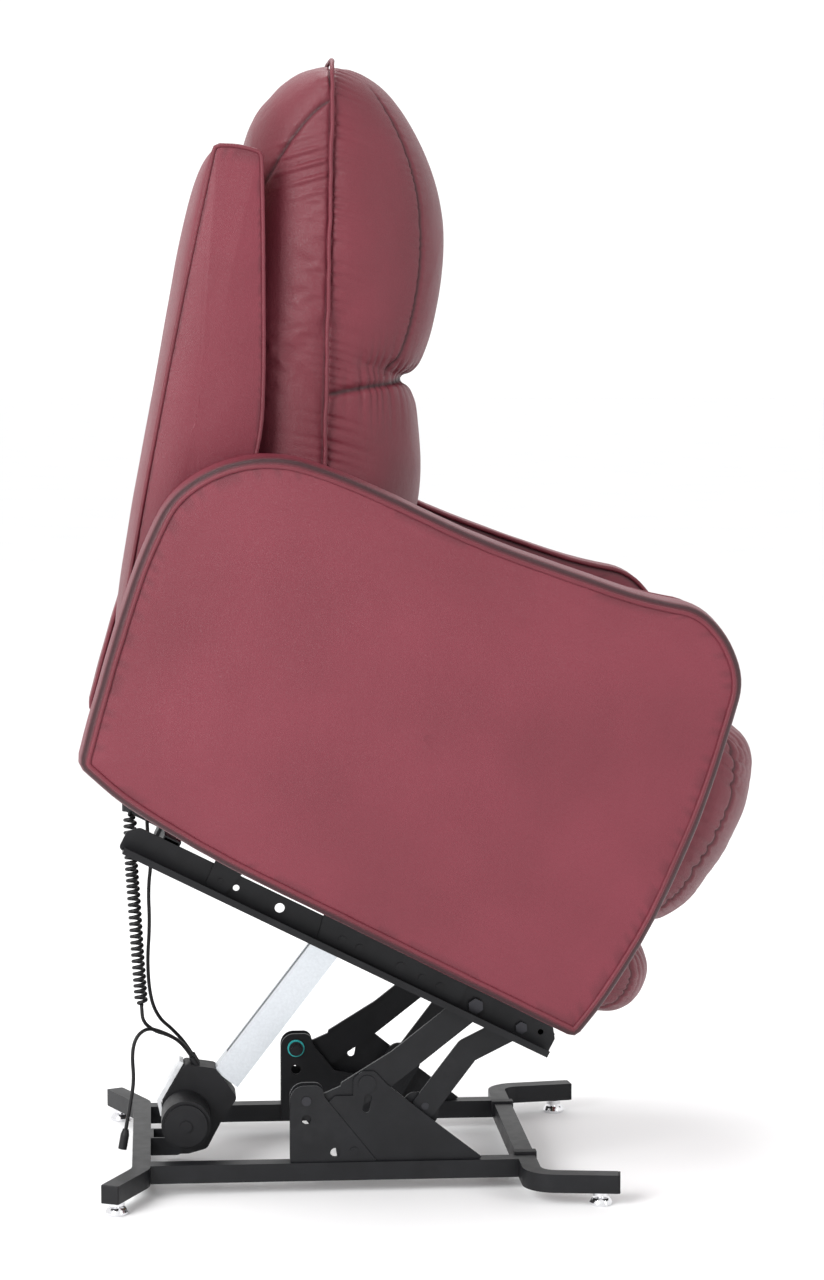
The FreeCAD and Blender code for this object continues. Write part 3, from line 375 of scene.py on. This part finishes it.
burgundy = leather_material("burgundy_leather", (0.15, 0.0215, 0.035), (0.124, 0.017, 0.0275),
                            (0.03, 0.005, 0.008), 0.45)
soft_burgundy = leather_material("burgundy_leather_soft", (0.13, 0.0175, 0.0285), (0.102, 0.0135, 0.0215),
                                 (0.028, 0.0045, 0.007), 1.2)
steel = coat_material("black_steel", (0.0040, 0.0042, 0.0052))
fastener = metal_material("dark_fastener_steel", (0.045, 0.045, 0.05), (0.28, 0.45))
black_plastic = coat_material("black_plastic", (0.0055, 0.0055, 0.0065), (0.42, 0.6), 1500.0, 0.00009, 0.3)
grey_plastic = coat_material("grey_plastic", (0.5, 0.51, 0.52), (0.4, 0.55), 1500.0, 0.00005, 0.2)
teal_plastic = coat_material("teal_plastic", (0.03, 0.33, 0.33), (0.35, 0.5), 1500.0, 0.00004, 0.2)
chrome = metal_material("chromed_feet", (0.8, 0.8, 0.82), (0.08, 0.2))
aluminium = metal_material("aluminium_profile", (0.6, 0.63, 0.66), (0.26, 0.38), (1.0, 6.0, 1.0), 300.0)
bright_steel = metal_material("bright_spindle_steel", (0.5, 0.5, 0.51), (0.22, 0.4))
timber = wood_material("frame_wood")
cable_sheath = coat_material("black_cable", (0.0045, 0.0045, 0.005), (0.35, 0.5), 900.0, 0.00004, 0.3)
button_rubber = coat_material("button_grey", (0.3, 0.31, 0.33), (0.5, 0.65), 1500.0, 0.00006, 0.2)

by_slot = {"black_steel": steel, "dark_fastener_steel": fastener, "black_plastic": black_plastic,
           "grey_plastic": grey_plastic, "teal_plastic": teal_plastic, "chromed_feet": chrome,
           "aluminium_profile": aluminium, "bright_spindle_steel": bright_steel, "frame_wood": timber,
           "burgundy_leather": burgundy, "black_cable": cable_sheath, "button_grey": button_rubber}
for part in frame["record"]["subparts"]:
    obj = nodes[part["node"]]
    obj.data.materials.clear()
    obj.data.materials.append(by_slot[part["material_slot"]])


def dress(obj, body, material):
    obj.data.materials.clear()
    obj.data.materials.append(material)
    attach(obj, body)
    return obj


# ---- boxed pads: arms, wings and the rear panel --------------------------
def boxed_pad(name, outline, low, high, crowns, edge, strip_crown=3.0, count=260):
    """Padded slab with crowned faces, rounded edges and a crowned strip round it, in its own axes."""
    line = resample(outline, count)
    area = 0.5 * np.sum(line[:, 0] * np.roll(line[:, 1], -1) - np.roll(line[:, 0], -1) * line[:, 1])
    if area < 0:
        line = line[::-1]
    ahead = np.roll(line, -1, axis=0) - np.roll(line, 1, axis=0)
    ahead /= np.linalg.norm(ahead, axis=1)[:, None]
    outward = np.stack([ahead[:, 1], -ahead[:, 0]], axis=1)
    centre = line.mean(axis=0)
    rings = []
    seams = []
    shrink = [0.0, 0.05, 0.15, 0.3, 0.45, 0.6, 0.72, 0.84, 0.93, 0.985]

    def face(side, level, crown):
        made = []
        inset = line - outward * edge
        for value in shrink:
            size = 1.0 - value
            rise = crown * (1.0 - size ** 2.6)
            made.append((centre + (inset - centre) * size, level + side * rise, 0.0))
        return made

    top = face(1.0, high, crowns[1])[::-1]
    bottom = face(-1.0, low, crowns[0])
    rings.extend(top)
    steps = 5
    edge_seam = [1.0 if k in (2, 3) else 0.35 for k in range(steps + 1)]
    for k in range(steps + 1):
        angle = math.pi / 2 * (1 - k / steps)
        inset = edge * (1 - math.cos(angle))
        rings.append((line - outward * inset, high - edge + edge * math.sin(angle), edge_seam[k]))
    width = (high - low) - 2 * edge
    for k in range(1, 8):
        t = k / 8.0
        out = strip_crown * math.sin(math.pi * t)
        rings.append((line + outward * out, high - edge - width * t, 0.0))
    for k in range(steps + 1):
        angle = math.pi / 2 * k / steps
        inset = edge * (1 - math.cos(angle))
        rings.append((line - outward * inset, low + edge - edge * math.sin(angle), edge_seam[k]))
    rings.extend(bottom)
    points = []
    for ring, y, seam in rings:
        points.append(np.stack([ring[:, 0], np.full(count, y), ring[:, 1]], axis=1))
        seams.extend([seam] * count)
    points = np.concatenate(points)
    faces = grid_faces(len(rings), count)
    faces.append(tuple(range(count)))
    faces.append(tuple((len(rings) - 1) * count + k for k in reversed(range(count))))
    obj = mesh_object(name, points, faces)
    set_attribute(obj, "seam", np.array(seams))
    return obj, line, outward


def soften(obj, depth, size, seed):
    """Slow uneven swell of stuffed leather."""
    points = get_points(obj)
    normals = get_normals(obj)
    x, y, z = points.T / size
    swell = waves(x + 0.6 * z, seed) * waves(z - 0.4 * x + 0.5 * y, seed + 3.0)
    swell = swell + 0.4 * waves(x * 2.1 - z * 1.7, seed + 5)
    set_points(obj, points + normals * (depth * swell)[:, None])


def piping(name, line, y, axes, body, radius=3.1, lift=0.6, outward=None):
    path = line + (outward * lift if outward is not None else 0.0)
    points = axes(np.stack([path[:, 0], np.full(len(path), y), path[:, 1]], axis=1))
    obj = tube_along(name, points, radius, 10, closed=True)
    skin = get_points(obj)
    wobble = 0.25 * waves(skin[:, 0] / 6.0 + skin[:, 2] / 5.0, 1.0)
    set_points(obj, skin + get_normals(obj) * wobble[:, None])
    return dress(obj, body, soft_burgundy)


# arm pad, in millimetres: how far it stays inside the CAD arm, its crowns and its rounded edge
arm_outer_margin = 8.0
arm_inner_margin = 4.0
arm_crown_inner = 3.0
arm_crown_outer = {"right": 9.0, "left": 5.0}
arm_edge = 13.0
arm_outline = [(104, 44), (-430, 48), (-565, 62), (-634, 82), (-662, 220), (-682, 357), (-683, 440),
               (-662, 486), (-624, 528), (-572, 556), (-505, 567), (-410, 572), (-300, 573), (-190, 586),
               (-80, 600), (-4, 621), (48, 602), (92, 560), (109, 468), (121, 384), (130, 215), (116, 95)]
arm_curve = smooth_outline(arm_outline, {0: 14.0, 3: 20.0})
for side_name, side in (("right", -1.0), ("left", 1.0)):
    outer_edge = arm_y[1] - arm_outer_margin
    low, high = arm_y[0] + arm_inner_margin, outer_edge
    crowns = (arm_crown_inner, arm_crown_outer[side_name])
    if side < 0:
        low, high = -high, -low
        crowns = crowns[::-1]
    pad, line, outward = boxed_pad("arm_pad_" + side_name, arm_curve, low, high, crowns, arm_edge)
    soften(pad, 1.1, 110.0, 2.0 + side)
    set_points(pad, seat_axes(get_points(pad)))
    fix_normals(pad)
    dress(pad, "seat_frame", burgundy)
    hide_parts("arm_" + side_name)
    piping("arm_piping_outer_" + side_name, line, side * (outer_edge + 0.2), seat_axes, "seat_frame",
           outward=outward, lift=-11.5)
    piping("arm_piping_inner_" + side_name, line, side * (arm_y[0] + 7.0), seat_axes, "seat_frame",
           outward=outward, lift=-1.2)

wing_outline = [(2, 0), (0, 260), (3, 500), (10, 694), (40, 699), (72, 697), (92, 600), (107, 520),
                (126, 420), (139, 330), (122, 190), (60, 150), (34, 0)]
wing_curve = smooth_outline(wing_outline, {0: 6.0, 3: 10.0, 5: 10.0, 12: 6.0})
wing_y = [abs(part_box("back_wing_right")[1][1]) * 1000.0, abs(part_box("back_wing_right")[0][1]) * 1000.0]
for side_name, side in (("right", -1.0), ("left", 1.0)):
    low, high = wing_y[0] + 0.5, wing_y[1] - 3.0
    crowns = (1.0, 6.0)
    if side < 0:
        low, high = -high, -low
        crowns = (6.0, 1.0)
    pad, line, outward = boxed_pad("wing_pad_" + side_name, wing_curve, low, high, crowns, 5.0, 1.0, 200)
    soften(pad, 0.7, 70.0, 4.0 + side)
    set_points(pad, back_axes(get_points(pad)))
    fix_normals(pad)
    dress(pad, "backrest", burgundy)
    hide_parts("back_wing_" + side_name)
    piping("wing_piping_" + side_name, line, side * (wing_y[1] - 4.0), back_axes, "backrest",
           2.8, -0.6, outward)

panel_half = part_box("back_rear_panel")[1][1] * 1000.0


def rear_panel():
    """Crowned leather panel over the back of the backrest."""
    rows, columns = 90, 70
    foot_v, height = 2.0, 684.0
    middle_v = foot_v + height / 2.0
    points = []
    for side in (0, 1):
        for i in range(rows):
            v = foot_v + height * (0.5 - 0.5 * math.cos(math.pi * i / (rows - 1)))
            for j in range(columns):
                y = -panel_half + 2 * panel_half * (0.5 - 0.5 * math.cos(math.pi * j / (columns - 1)))
                a = max(0.0, 1.0 - abs(y / panel_half) ** 4) ** 0.5
                b = max(0.0, 1.0 - abs((v - middle_v) / (height / 2.0)) ** 6) ** 0.5
                n = 8.0 - 20.0 * a * b if side == 0 else 24.0
                points.append((n, y, v))
    size = rows * columns
    faces = grid_faces(rows, columns, wrap_columns=False)
    faces += [tuple(size + k for k in reversed(face)) for face in faces]
    rim = list(range(columns)) + [i * columns + columns - 1 for i in range(1, rows)]
    rim += [(rows - 1) * columns + j for j in reversed(range(columns - 1))]
    rim += [i * columns for i in reversed(range(1, rows - 1))]
    for a, b in zip(rim, rim[1:] + rim[:1]):
        faces.append((b, a, a + size, b + size))
    obj = mesh_object("rear_panel_pad", points, faces)
    fix_normals(obj)
    return obj


panel = rear_panel()
soften(panel, 1.3, 120.0, 8.0)
set_points(panel, back_axes(get_points(panel)))
set_attribute(panel, "seam", np.zeros(len(panel.data.vertices)))
dress(panel, "backrest", burgundy)
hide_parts("back_rear_panel")


# ---- stuffed cushions ----------------------------------------------------
def cushion(name, front, rear, seam, half, front_side=(3.2, 2.3), rear_side=(5.0, 2.6), taper=0.08, rows=56):
    """Two shells sewn together along a welt: profiles are (depth, height) from top to bottom."""
    columns = 72
    across = np.sin(np.linspace(-math.pi / 2, math.pi / 2, columns))
    middle = 0.5 * (seam[0][1] + seam[-1][1])
    seam = resample(seam, rows, closed=False)
    points = []
    faces = []
    start = 0
    for profile, (p, q) in ((front, front_side), (rear, rear_side)):
        line = resample(profile, rows, closed=False)
        for i in range(rows):
            for t in across:
                f = max(0.0, 1.0 - abs(t) ** p) ** (1.0 / q)
                depth = seam[i, 0] + (line[i, 0] - seam[i, 0]) * f
                height = seam[i, 1] + (line[i, 1] - seam[i, 1]) * f
                height = middle + (height - middle) * (1.0 - taper * abs(t) ** 7)
                points.append((depth, t * half, height))
        more = [tuple(start + k for k in face) for face in grid_faces(rows, columns, wrap_columns=False)]
        faces += more
        start += rows * columns
    obj = mesh_object(name, points, faces)
    fix_normals(obj)
    return obj


cloth_frames = 20


def inflate(obj, voxel, cap, pressure=4.0):
    """Remesh, blow up with cloth pressure, and keep the result within the cap, in millimetres."""
    remesh = obj.modifiers.new("Remesh", "REMESH")
    remesh.mode = "VOXEL"
    remesh.voxel_size = voxel / 1000.0
    remesh.use_smooth_shade = True
    apply_modifiers(obj)
    rest = get_points(obj)
    cloth = obj.modifiers.new("Cloth", "CLOTH")
    settings = cloth.settings
    settings.quality = 4
    settings.mass = 0.3
    settings.tension_stiffness = 12.0
    settings.compression_stiffness = 12.0
    settings.bending_stiffness = 0.8
    settings.use_pressure = True
    settings.uniform_pressure_force = pressure
    settings.effector_weights.gravity = 0.0
    cloth.point_cache.frame_start = 1
    cloth.point_cache.frame_end = cloth_frames
    scene = bpy.context.scene
    for number in range(1, cloth_frames + 1):
        scene.frame_set(number)
    apply_modifiers(obj)
    scene.frame_set(1)
    moved = get_points(obj) - rest
    length = np.linalg.norm(moved, axis=1)
    keep = np.minimum(1.0, cap / np.maximum(length, 1e-6))
    set_points(obj, rest + moved * keep[:, None])
    subdivide = obj.modifiers.new("Subdivision", "SUBSURF")
    subdivide.levels = 1
    subdivide.render_levels = 1
    apply_modifiers(obj)


def gathers(along, away, spacing, depth, reach, seed):
    """Uneven puckers that run away from a seam and fade."""
    phase = along / spacing + 0.9 * waves(along / (spacing * 2.6), seed)
    sharp = (0.5 + 0.5 * np.cos(2 * math.pi * phase)) ** 2.5
    uneven = 0.35 + 0.65 * (0.5 + 0.5 * waves(along / (spacing * 1.4), seed + 4.0))
    length = reach * (0.45 + 0.75 * (0.5 + 0.5 * waves(along / (spacing * 1.9), seed + 9.0)))
    return -depth * uneven * sharp * np.exp(-(away / length) ** 1.3)


def groove(away, depth, width):
    return -depth * np.exp(-(away / width) ** 2)


def finish_cushion(obj, axes, body, detail, replaced):
    points = get_points(obj)
    normals = get_normals(obj)
    push, seam = detail(points, normals)
    set_points(obj, points + normals * push[:, None])
    set_attribute(obj, "seam", seam)
    set_points(obj, axes(get_points(obj)))
    fix_normals(obj)
    dress(obj, body, soft_burgundy)
    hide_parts(*replaced)
    return obj


def folds(points, size, depth, seed, lean=(1.0, 0.0, 0.3)):
    a = points @ np.array(lean) / size
    b = points[:, 1] / (size * 2.5)
    return depth * waves(a + 0.8 * waves(b, seed), seed + 1.0)


# back cushion: a head pillow over a lumbar roll, in one cover with a tuck between them
def welt_depth(v):
    return 141.0 + (840.0 - v) * 0.163


tuck_v = 442.0
pillow_front = [(141, 838), (184, 836), (220, 823), (259, 790), (294, 747), (320, 699), (338, 637), (345, 571),
                (342, 503), (333, 462), (320, 448)]
tuck_corner = [(304, 442)]
lumbar_front = [(322, 436), (338, 415), (350, 375), (362, 331), (369, 280), (366, 240), (344, 205), (295, 184),
                (248, 182)]
back_front = smooth_outline(pillow_front + tuck_corner + lumbar_front, {len(pillow_front): 1.0}, closed=False)
back_rear = smooth_outline([(141, 838), (121, 832), (95, 812), (68, 771), (60, 735), (54, 600), (56, 400),
                            (90, 240), (130, 184), (248, 182)], closed=False)
back_seam = [(welt_depth(v), v) for v in (838, 700, 600, 500, 400, 300, 182)]
back_cushion = cushion("back_cushion", back_front, back_rear, back_seam, pillow_half - 7.0,
                       (3.0, 2.3), (5.0, 2.4), 0.07, 100)
inflate(back_cushion, 5.0, 7.0)


def back_detail(points, normals):
    n, y, v = points.T
    side = np.abs(y)
    away = np.abs(n - welt_depth(v))
    forward = n - welt_depth(v)
    edge = np.clip((side - 165.0) / 45.0, 0.0, 1.0)
    top = np.clip((v - 800.0) / 30.0, 0.0, 1.0)
    on_rim = np.maximum(edge, top)
    ahead = np.clip(forward / 6.0, 0.0, 1.0)
    push = groove(away, 3.5, 3.6) * on_rim
    puckers = gathers(v + 0.45 * y, away, 15.0, 4.6, 30.0, 1.0)
    push += on_rim * puckers * (0.35 + 0.65 * ahead)
    seam = np.exp(-(away / 2.6) ** 2) * on_rim
    # seam between the side and the front of the pillow
    second = np.abs(side - 184.0)
    front = np.clip((forward - 46.0) / 30.0, 0.0, 1.0) * np.clip((v - tuck_v) / 8.0, 0.0, 1.0)
    push += front * groove(second, 3.0, 3.0)
    push += front * 0.6 * gathers(v, second, 14.0, 2.6, 16.0, 6.0)
    seam = np.maximum(seam, front * 0.9 * np.exp(-(second / 2.2) ** 2))
    # slanting seam on the upper rear corner, with deep creases under it
    behind = np.clip(153.0 - n, 0.0, None)
    seam_v = 783.0 - 0.45 * behind - 0.0185 * behind ** 2
    slant = np.abs(v - seam_v) / np.sqrt(1 + (0.45 + 0.037 * behind) ** 2)
    rear = np.clip(-forward / 6.0, 0.0, 1.0) * edge
    push += rear * groove(slant, 3.6, 3.4)
    seam = np.maximum(seam, rear * 0.9 * np.exp(-(slant / 2.3) ** 2))
    below = np.exp(-((v - 690.0) / 34.0) ** 2) * rear
    push += below * 4.2 * waves((v - 0.45 * forward) / 3.9, 3.0) * np.exp(-((forward + 26.0) / 34.0) ** 2)
    # tuck between the pillow and the lumbar roll
    tuck = np.abs(v - 402.0 - 0.36 * np.clip(forward, 0.0, 111.0))
    across = np.clip(forward / 8.0, 0.0, 1.0)
    push += across * groove(tuck, 5.0, 6.0)
    seam = np.maximum(seam, across * np.exp(-(tuck / 3.2) ** 2))
    pleats = gathers(forward + 0.9 * y, tuck, 24.0, 4.2, 34.0, 2.0)
    push += across * pleats
    push += folds(points, 62.0, 1.5, 2.0)
    return push, seam


finish_cushion(back_cushion, back_axes, "backrest", back_detail, ("back_pillow", "back_lumbar_cushion"))


def welt(name, points, axes, body, radius=3.2):
    obj = tube_along(name, axes(points), radius, 10)
    return dress(obj, body, soft_burgundy)


def side_welt(low, high, half, corner, depth):
    """Welt round the cushion's rim, from one lower corner over the top to the other."""
    left = [(-half, low), (-half, high - corner), (-half + corner * 0.35, high - corner * 0.2),
            (-half + corner, high)]
    right = [(-y, z) for y, z in reversed(left)]
    line = smooth_outline(left + right, closed=False)
    line = resample(line, 300, closed=False)
    uneven = waves(line[:, 1] / 24.0 + line[:, 0] / 30.0, 2.0)
    return np.stack([depth(line[:, 1]) + 1.0 * uneven, line[:, 0] + 0.6 * uneven, line[:, 1]], axis=1)


# seat cushion: (u, y, w), sewn along its middle height
seat_top = smooth_outline([(-424, 410), (-420, 432), (-380, 444), (-320, 458), (-120, 466), (0, 474),
                           (52, 470), (80, 440), (80, 420)], closed=False)
seat_bottom = smooth_outline([(-424, 410), (-420, 386), (-120, 384), (60, 384), (80, 396), (80, 420)],
                             closed=False)


def flat_cushion(name, top, bottom, level, half):
    """Cushion that lies flat: the same two shells, with depth and height exchanged."""
    swap = [(p[1], p[0]) for p in top]
    under = [(p[1], p[0]) for p in bottom]
    seam = [(level, top[0][0]), (level, top[-1][0])]
    obj = cushion(name, swap, under, seam, half, (6.0, 2.4), (8.0, 3.0), 0.03)
    points = get_points(obj)
    set_points(obj, points[:, [2, 1, 0]])
    fix_normals(obj)
    return obj


seat_pad = flat_cushion("seat_cushion_pad", seat_top, seat_bottom, 420.0, cushion_half - 4.0)
inflate(seat_pad, 7.0, 5.0)


def seat_detail(points, normals):
    u, y, w = points.T
    top = np.clip((w - 430.0) / 20.0, 0.0, 1.0)
    cross = np.abs(u + 8.0 * np.cos(y / 90.0) + 70.0)
    border = np.abs(np.abs(y) - 205.0)
    push = top * (groove(cross, 4.0, 5.0) + groove(border, 3.0, 4.0))
    push += top * gathers(y, cross, 27.0, 3.0, 30.0, 5.0)
    seam = top * np.maximum(np.exp(-(cross / 2.6) ** 2), np.exp(-(border / 2.6) ** 2))
    push += folds(points, 70.0, 1.5, 3.0)
    return push, seam


finish_cushion(seat_pad, seat_axes, "seat_frame", seat_detail, ("seat_cushion",))

# footrest: a large roll for the calves and a small one below it
calf_front = smooth_outline([(102, 494), (148, 504), (200, 482), (229, 418), (230, 330), (214, 244), (178, 196),
                             (102, 188)], closed=False)
calf_rear = [(102, 494), (101, 340), (102, 188)]
calf = cushion("calf_roll", calf_front, calf_rear, [(102, 494), (102, 188)], cushion_half - 6.0,
               (2.6, 2.2), (8.0, 3.0), 0.05)
inflate(calf, 6.0, 5.0)


def calf_detail(points, normals):
    u, y, w = points.T
    side = np.abs(y)
    front = np.clip((u - 108.0) / 12.0, 0.0, 1.0)
    border = np.abs(side - 218.0)
    push = front * groove(border, 3.0, 3.5)
    push += front * gathers(w + 0.2 * u, border, 18.0, 5.5, 46.0, 4.0)
    push += front * gathers(y, w - 184.0, 24.0, 6.0, 48.0, 8.0)
    push += front * gathers(y + 40.0, 500.0 - w, 33.0, 3.5, 44.0, 2.0)
    seam = front * 0.85 * np.exp(-(border / 2.4) ** 2)
    push += folds(points, 58.0, 2.0, 6.0, (0.3, 0.0, 1.0))
    return push, seam


finish_cushion(calf, seat_axes, "legrest_board", calf_detail, ("legrest_calf_pad",))
foot_front = smooth_outline([(102, 173), (172, 172), (208, 146), (214, 106), (196, 72), (160, 60), (102, 62)],
                            closed=False)
foot = cushion("foot_roll", foot_front, [(102, 173), (101, 118), (102, 62)], [(102, 173), (102, 62)],
               cushion_half - 5.0, (3.0, 2.2), (8.0, 3.0), 0.05)
inflate(foot, 5.0, 3.5)


def foot_detail(points, normals):
    u, y, w = points.T
    side = np.abs(y)
    front = np.clip((u - 108.0) / 12.0, 0.0, 1.0)
    border = np.abs(side - 222.0)
    push = front * groove(border, 3.0, 3.5)
    push += front * gathers(w, border, 15.0, 4.0, 30.0, 2.0)
    push += front * gathers(y, 174.0 - w, 22.0, 4.5, 34.0, 6.0)
    seam = front * 0.85 * np.exp(-(border / 2.4) ** 2)
    push += folds(points, 48.0, 1.4, 8.0, (0.3, 0.0, 1.0))
    return push, seam


finish_cushion(foot, seat_axes, "legrest_board", foot_detail, ("legrest_foot_pad",))

welt_line = side_welt(190.0, 836.0, pillow_half - 5.0, 44.0, welt_depth)
welt("back_welt", welt_line, back_axes, "backrest", 2.9)

# ---- cords ---------------------------------------------------------------
rear_foot = (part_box("levelling_feet")[0][0] + 0.0155) * 1000.0


def route_line(name, points):
    """Points along a smooth NURBS line with these control points, in millimetres."""
    curve = bpy.data.curves.new(name, "CURVE")
    curve.dimensions = "3D"
    curve.resolution_u = 24
    spline = curve.splines.new("NURBS")
    spline.points.add(len(points) - 1)
    for target, point in zip(spline.points, points):
        target.co = (point[0] / 1000.0, point[1] / 1000.0, point[2] / 1000.0, 1.0)
    spline.order_u = 3
    spline.use_endpoint_u = True
    holder = bpy.data.objects.new(name, curve)
    bpy.context.scene.collection.objects.link(holder)
    bpy.context.view_layer.update()
    mesh = bpy.data.meshes.new_from_object(holder)
    line = np.array([tuple(v.co) for v in mesh.vertices]) * 1000.0
    bpy.data.meshes.remove(mesh)
    bpy.data.objects.remove(holder)
    bpy.data.curves.remove(curve)
    return line


def at_feet(points):
    return [(rear_foot + x, y, z) for x, y, z in points]


coil_points = at_feet([(20, -60, 512), (20, -60, 452), (24.5, -61, 390), (28, -59, 325), (31, -59, 280),
                       (34, -60, 236)])
tail_points = at_feet([(35.4, -60.5, 216), (52, -48, 200), (72, -28, 190), (94.5, -2, 170.3),
                       (103.5, -2, 154.7)])
strand = 5.2
coil_radius = 7.0
pitch = 8.6
line = route_line("handset_route", coil_points + tail_points)
line = resample(line, 1500, closed=False)
steps = np.linalg.norm(np.diff(line, axis=0), axis=1)
s = np.concatenate([[0.0], np.cumsum(steps)])
coil_end = s[np.argmin(np.abs(line[:, 2] - 238.0))]
tangent = np.gradient(line, axis=0)
tangent /= np.linalg.norm(tangent, axis=1)[:, None]
side_a = np.cross(tangent, [0.0, 1.0, 0.0])
side_a /= np.linalg.norm(side_a, axis=1)[:, None]
side_b = np.cross(tangent, side_a)
ease = np.clip((s - 3.0) / 9.0, 0.0, 1.0) * np.clip((coil_end - s) / 9.0, 0.0, 1.0)
ease = ease * ease * (3 - 2 * ease)
stretch = 1.0 + 0.10 * waves(s / 38.0, 2.0)
phase = np.cumsum(np.concatenate([[0.0], steps]) / (pitch * stretch)) * 2 * math.pi
many = np.linspace(0.0, s[-1], int(s[-1] / pitch * 20))


def at(values):
    return np.interp(many, s, values)


centre = np.stack([at(line[:, k]) for k in range(3)], axis=1)
a = np.stack([at(side_a[:, k]) for k in range(3)], axis=1)
b = np.stack([at(side_b[:, k]) for k in range(3)], axis=1)
turn = at(phase)
reach = coil_radius * at(ease)
helix = centre + (np.cos(turn) * reach)[:, None] * a + (np.sin(turn) * reach)[:, None] * b


def cord_piece(name, path, diameter, replaced, body="base"):
    obj = tube_along(name, path, diameter / 2.0, 10)
    dress(obj, body, cable_sheath)
    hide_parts(*replaced)
    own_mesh(obj)
    return obj


cord_piece("handset_cord", helix, strand, ["handset_cord_coil", "handset_cord_tail"])
cable_points = at_feet([(103.5, 11, 154.7), (95, 11, 169.4), (76, 0, 193), (58, -18, 212), (46, -34, 243),
                        (42, -40, 295), (46, -39, 350), (44, -41, 400), (49, -40, 440), (43, -38, 478),
                        (43, -38, 512)])
cable_line = resample(route_line("cable_route", cable_points), 220, closed=False)
cord_piece("recline_cable_sheath", cable_line, strand, ["recline_cable"])
lead_points = at_feet([(103.5, -15, 154.7), (95.5, -15, 168.6), (79, -30, 187), (60, -54, 201), (42, -71, 210),
                       (26, -80, 200), (20, -82, 176), (23, -80, 138), (17, -80, 103), (11, -81, 70)])
lead_line = resample(route_line("lead_route", lead_points), 200, closed=False)
cord_piece("supply_lead_sheath", lead_line, strand, ["supply_lead"])

# ---- stage, light and camera ---------------------------------------------
def pale_floor():
    rings = [1.0, 2.0, 4.0, 8.0, 16.0, 32.0, 60.0]
    sides = 48
    points = [(1000 * r * math.cos(2 * math.pi * k / sides), 1000 * r * math.sin(2 * math.pi * k / sides), -0.2)
              for r in rings for k in range(sides)]
    faces = grid_faces(len(rings), sides)
    faces.append(tuple(reversed(range(sides))))
    obj = mesh_object("pale_floor", points, faces)
    m = Nodes("pale_floor")
    tone = m.ramp(m.noise(2.0, 3.0), [(0.3, (0.87, 0.87, 0.875)), (0.7, (0.89, 0.89, 0.895))])
    m.set(Base_Color=tone, Roughness=0.6)
    obj.data.materials.append(m.material)


pale_floor()
world = bpy.data.worlds.new("studio")
world.use_nodes = True
world.node_tree.nodes["Background"].inputs["Color"].default_value = (1.0, 1.0, 1.0, 1.0)
world.node_tree.nodes["Background"].inputs["Strength"].default_value = 1.12
bpy.context.scene.world = world


def area_light(name, place, target, size, power):
    light = bpy.data.lights.new(name, "AREA")
    light.shape = "RECTANGLE"
    light.size, light.size_y = size
    light.energy = power
    obj = bpy.data.objects.new(name, light)
    bpy.context.scene.collection.objects.link(obj)
    obj.location = place
    obj.rotation_euler = (Vector(target) - Vector(place)).to_track_quat("-Z", "Y").to_euler()
    return obj


area_light("key", (-2.9, -3.6, 2.7), (0.0, 0.0, 0.8), (2.2, 2.2), 240.0)
area_light("side", (3.0, -2.6, 1.8), (0.0, 0.0, 0.8), (0.35, 2.4), 30.0)
area_light("top", (-0.4, 0.6, 3.4), (0.0, 0.0, 0.6), (1.6, 1.2), 50.0)

# camera: metres ahead of the rear feet, to the right and up; degrees down and to the right
camera_ahead, camera_side, camera_height = 0.0604, -4.541, 1.1616
camera_down, camera_turn = 5.284, 4.466
camera = bpy.data.cameras.new("camera")
camera.sensor_fit = "VERTICAL"
camera.sensor_height = 36.0
camera.lens = 91.81
eye = bpy.data.objects.new("camera", camera)
bpy.context.scene.collection.objects.link(eye)
eye.location = (rear_foot / 1000.0 + camera_ahead, camera_side, camera_height)
eye.rotation_euler = (math.radians(90.0 - camera_down), 0.0, math.radians(-camera_turn))
bpy.context.scene.camera = eye
bpy.context.scene.view_settings.view_transform = "Standard"
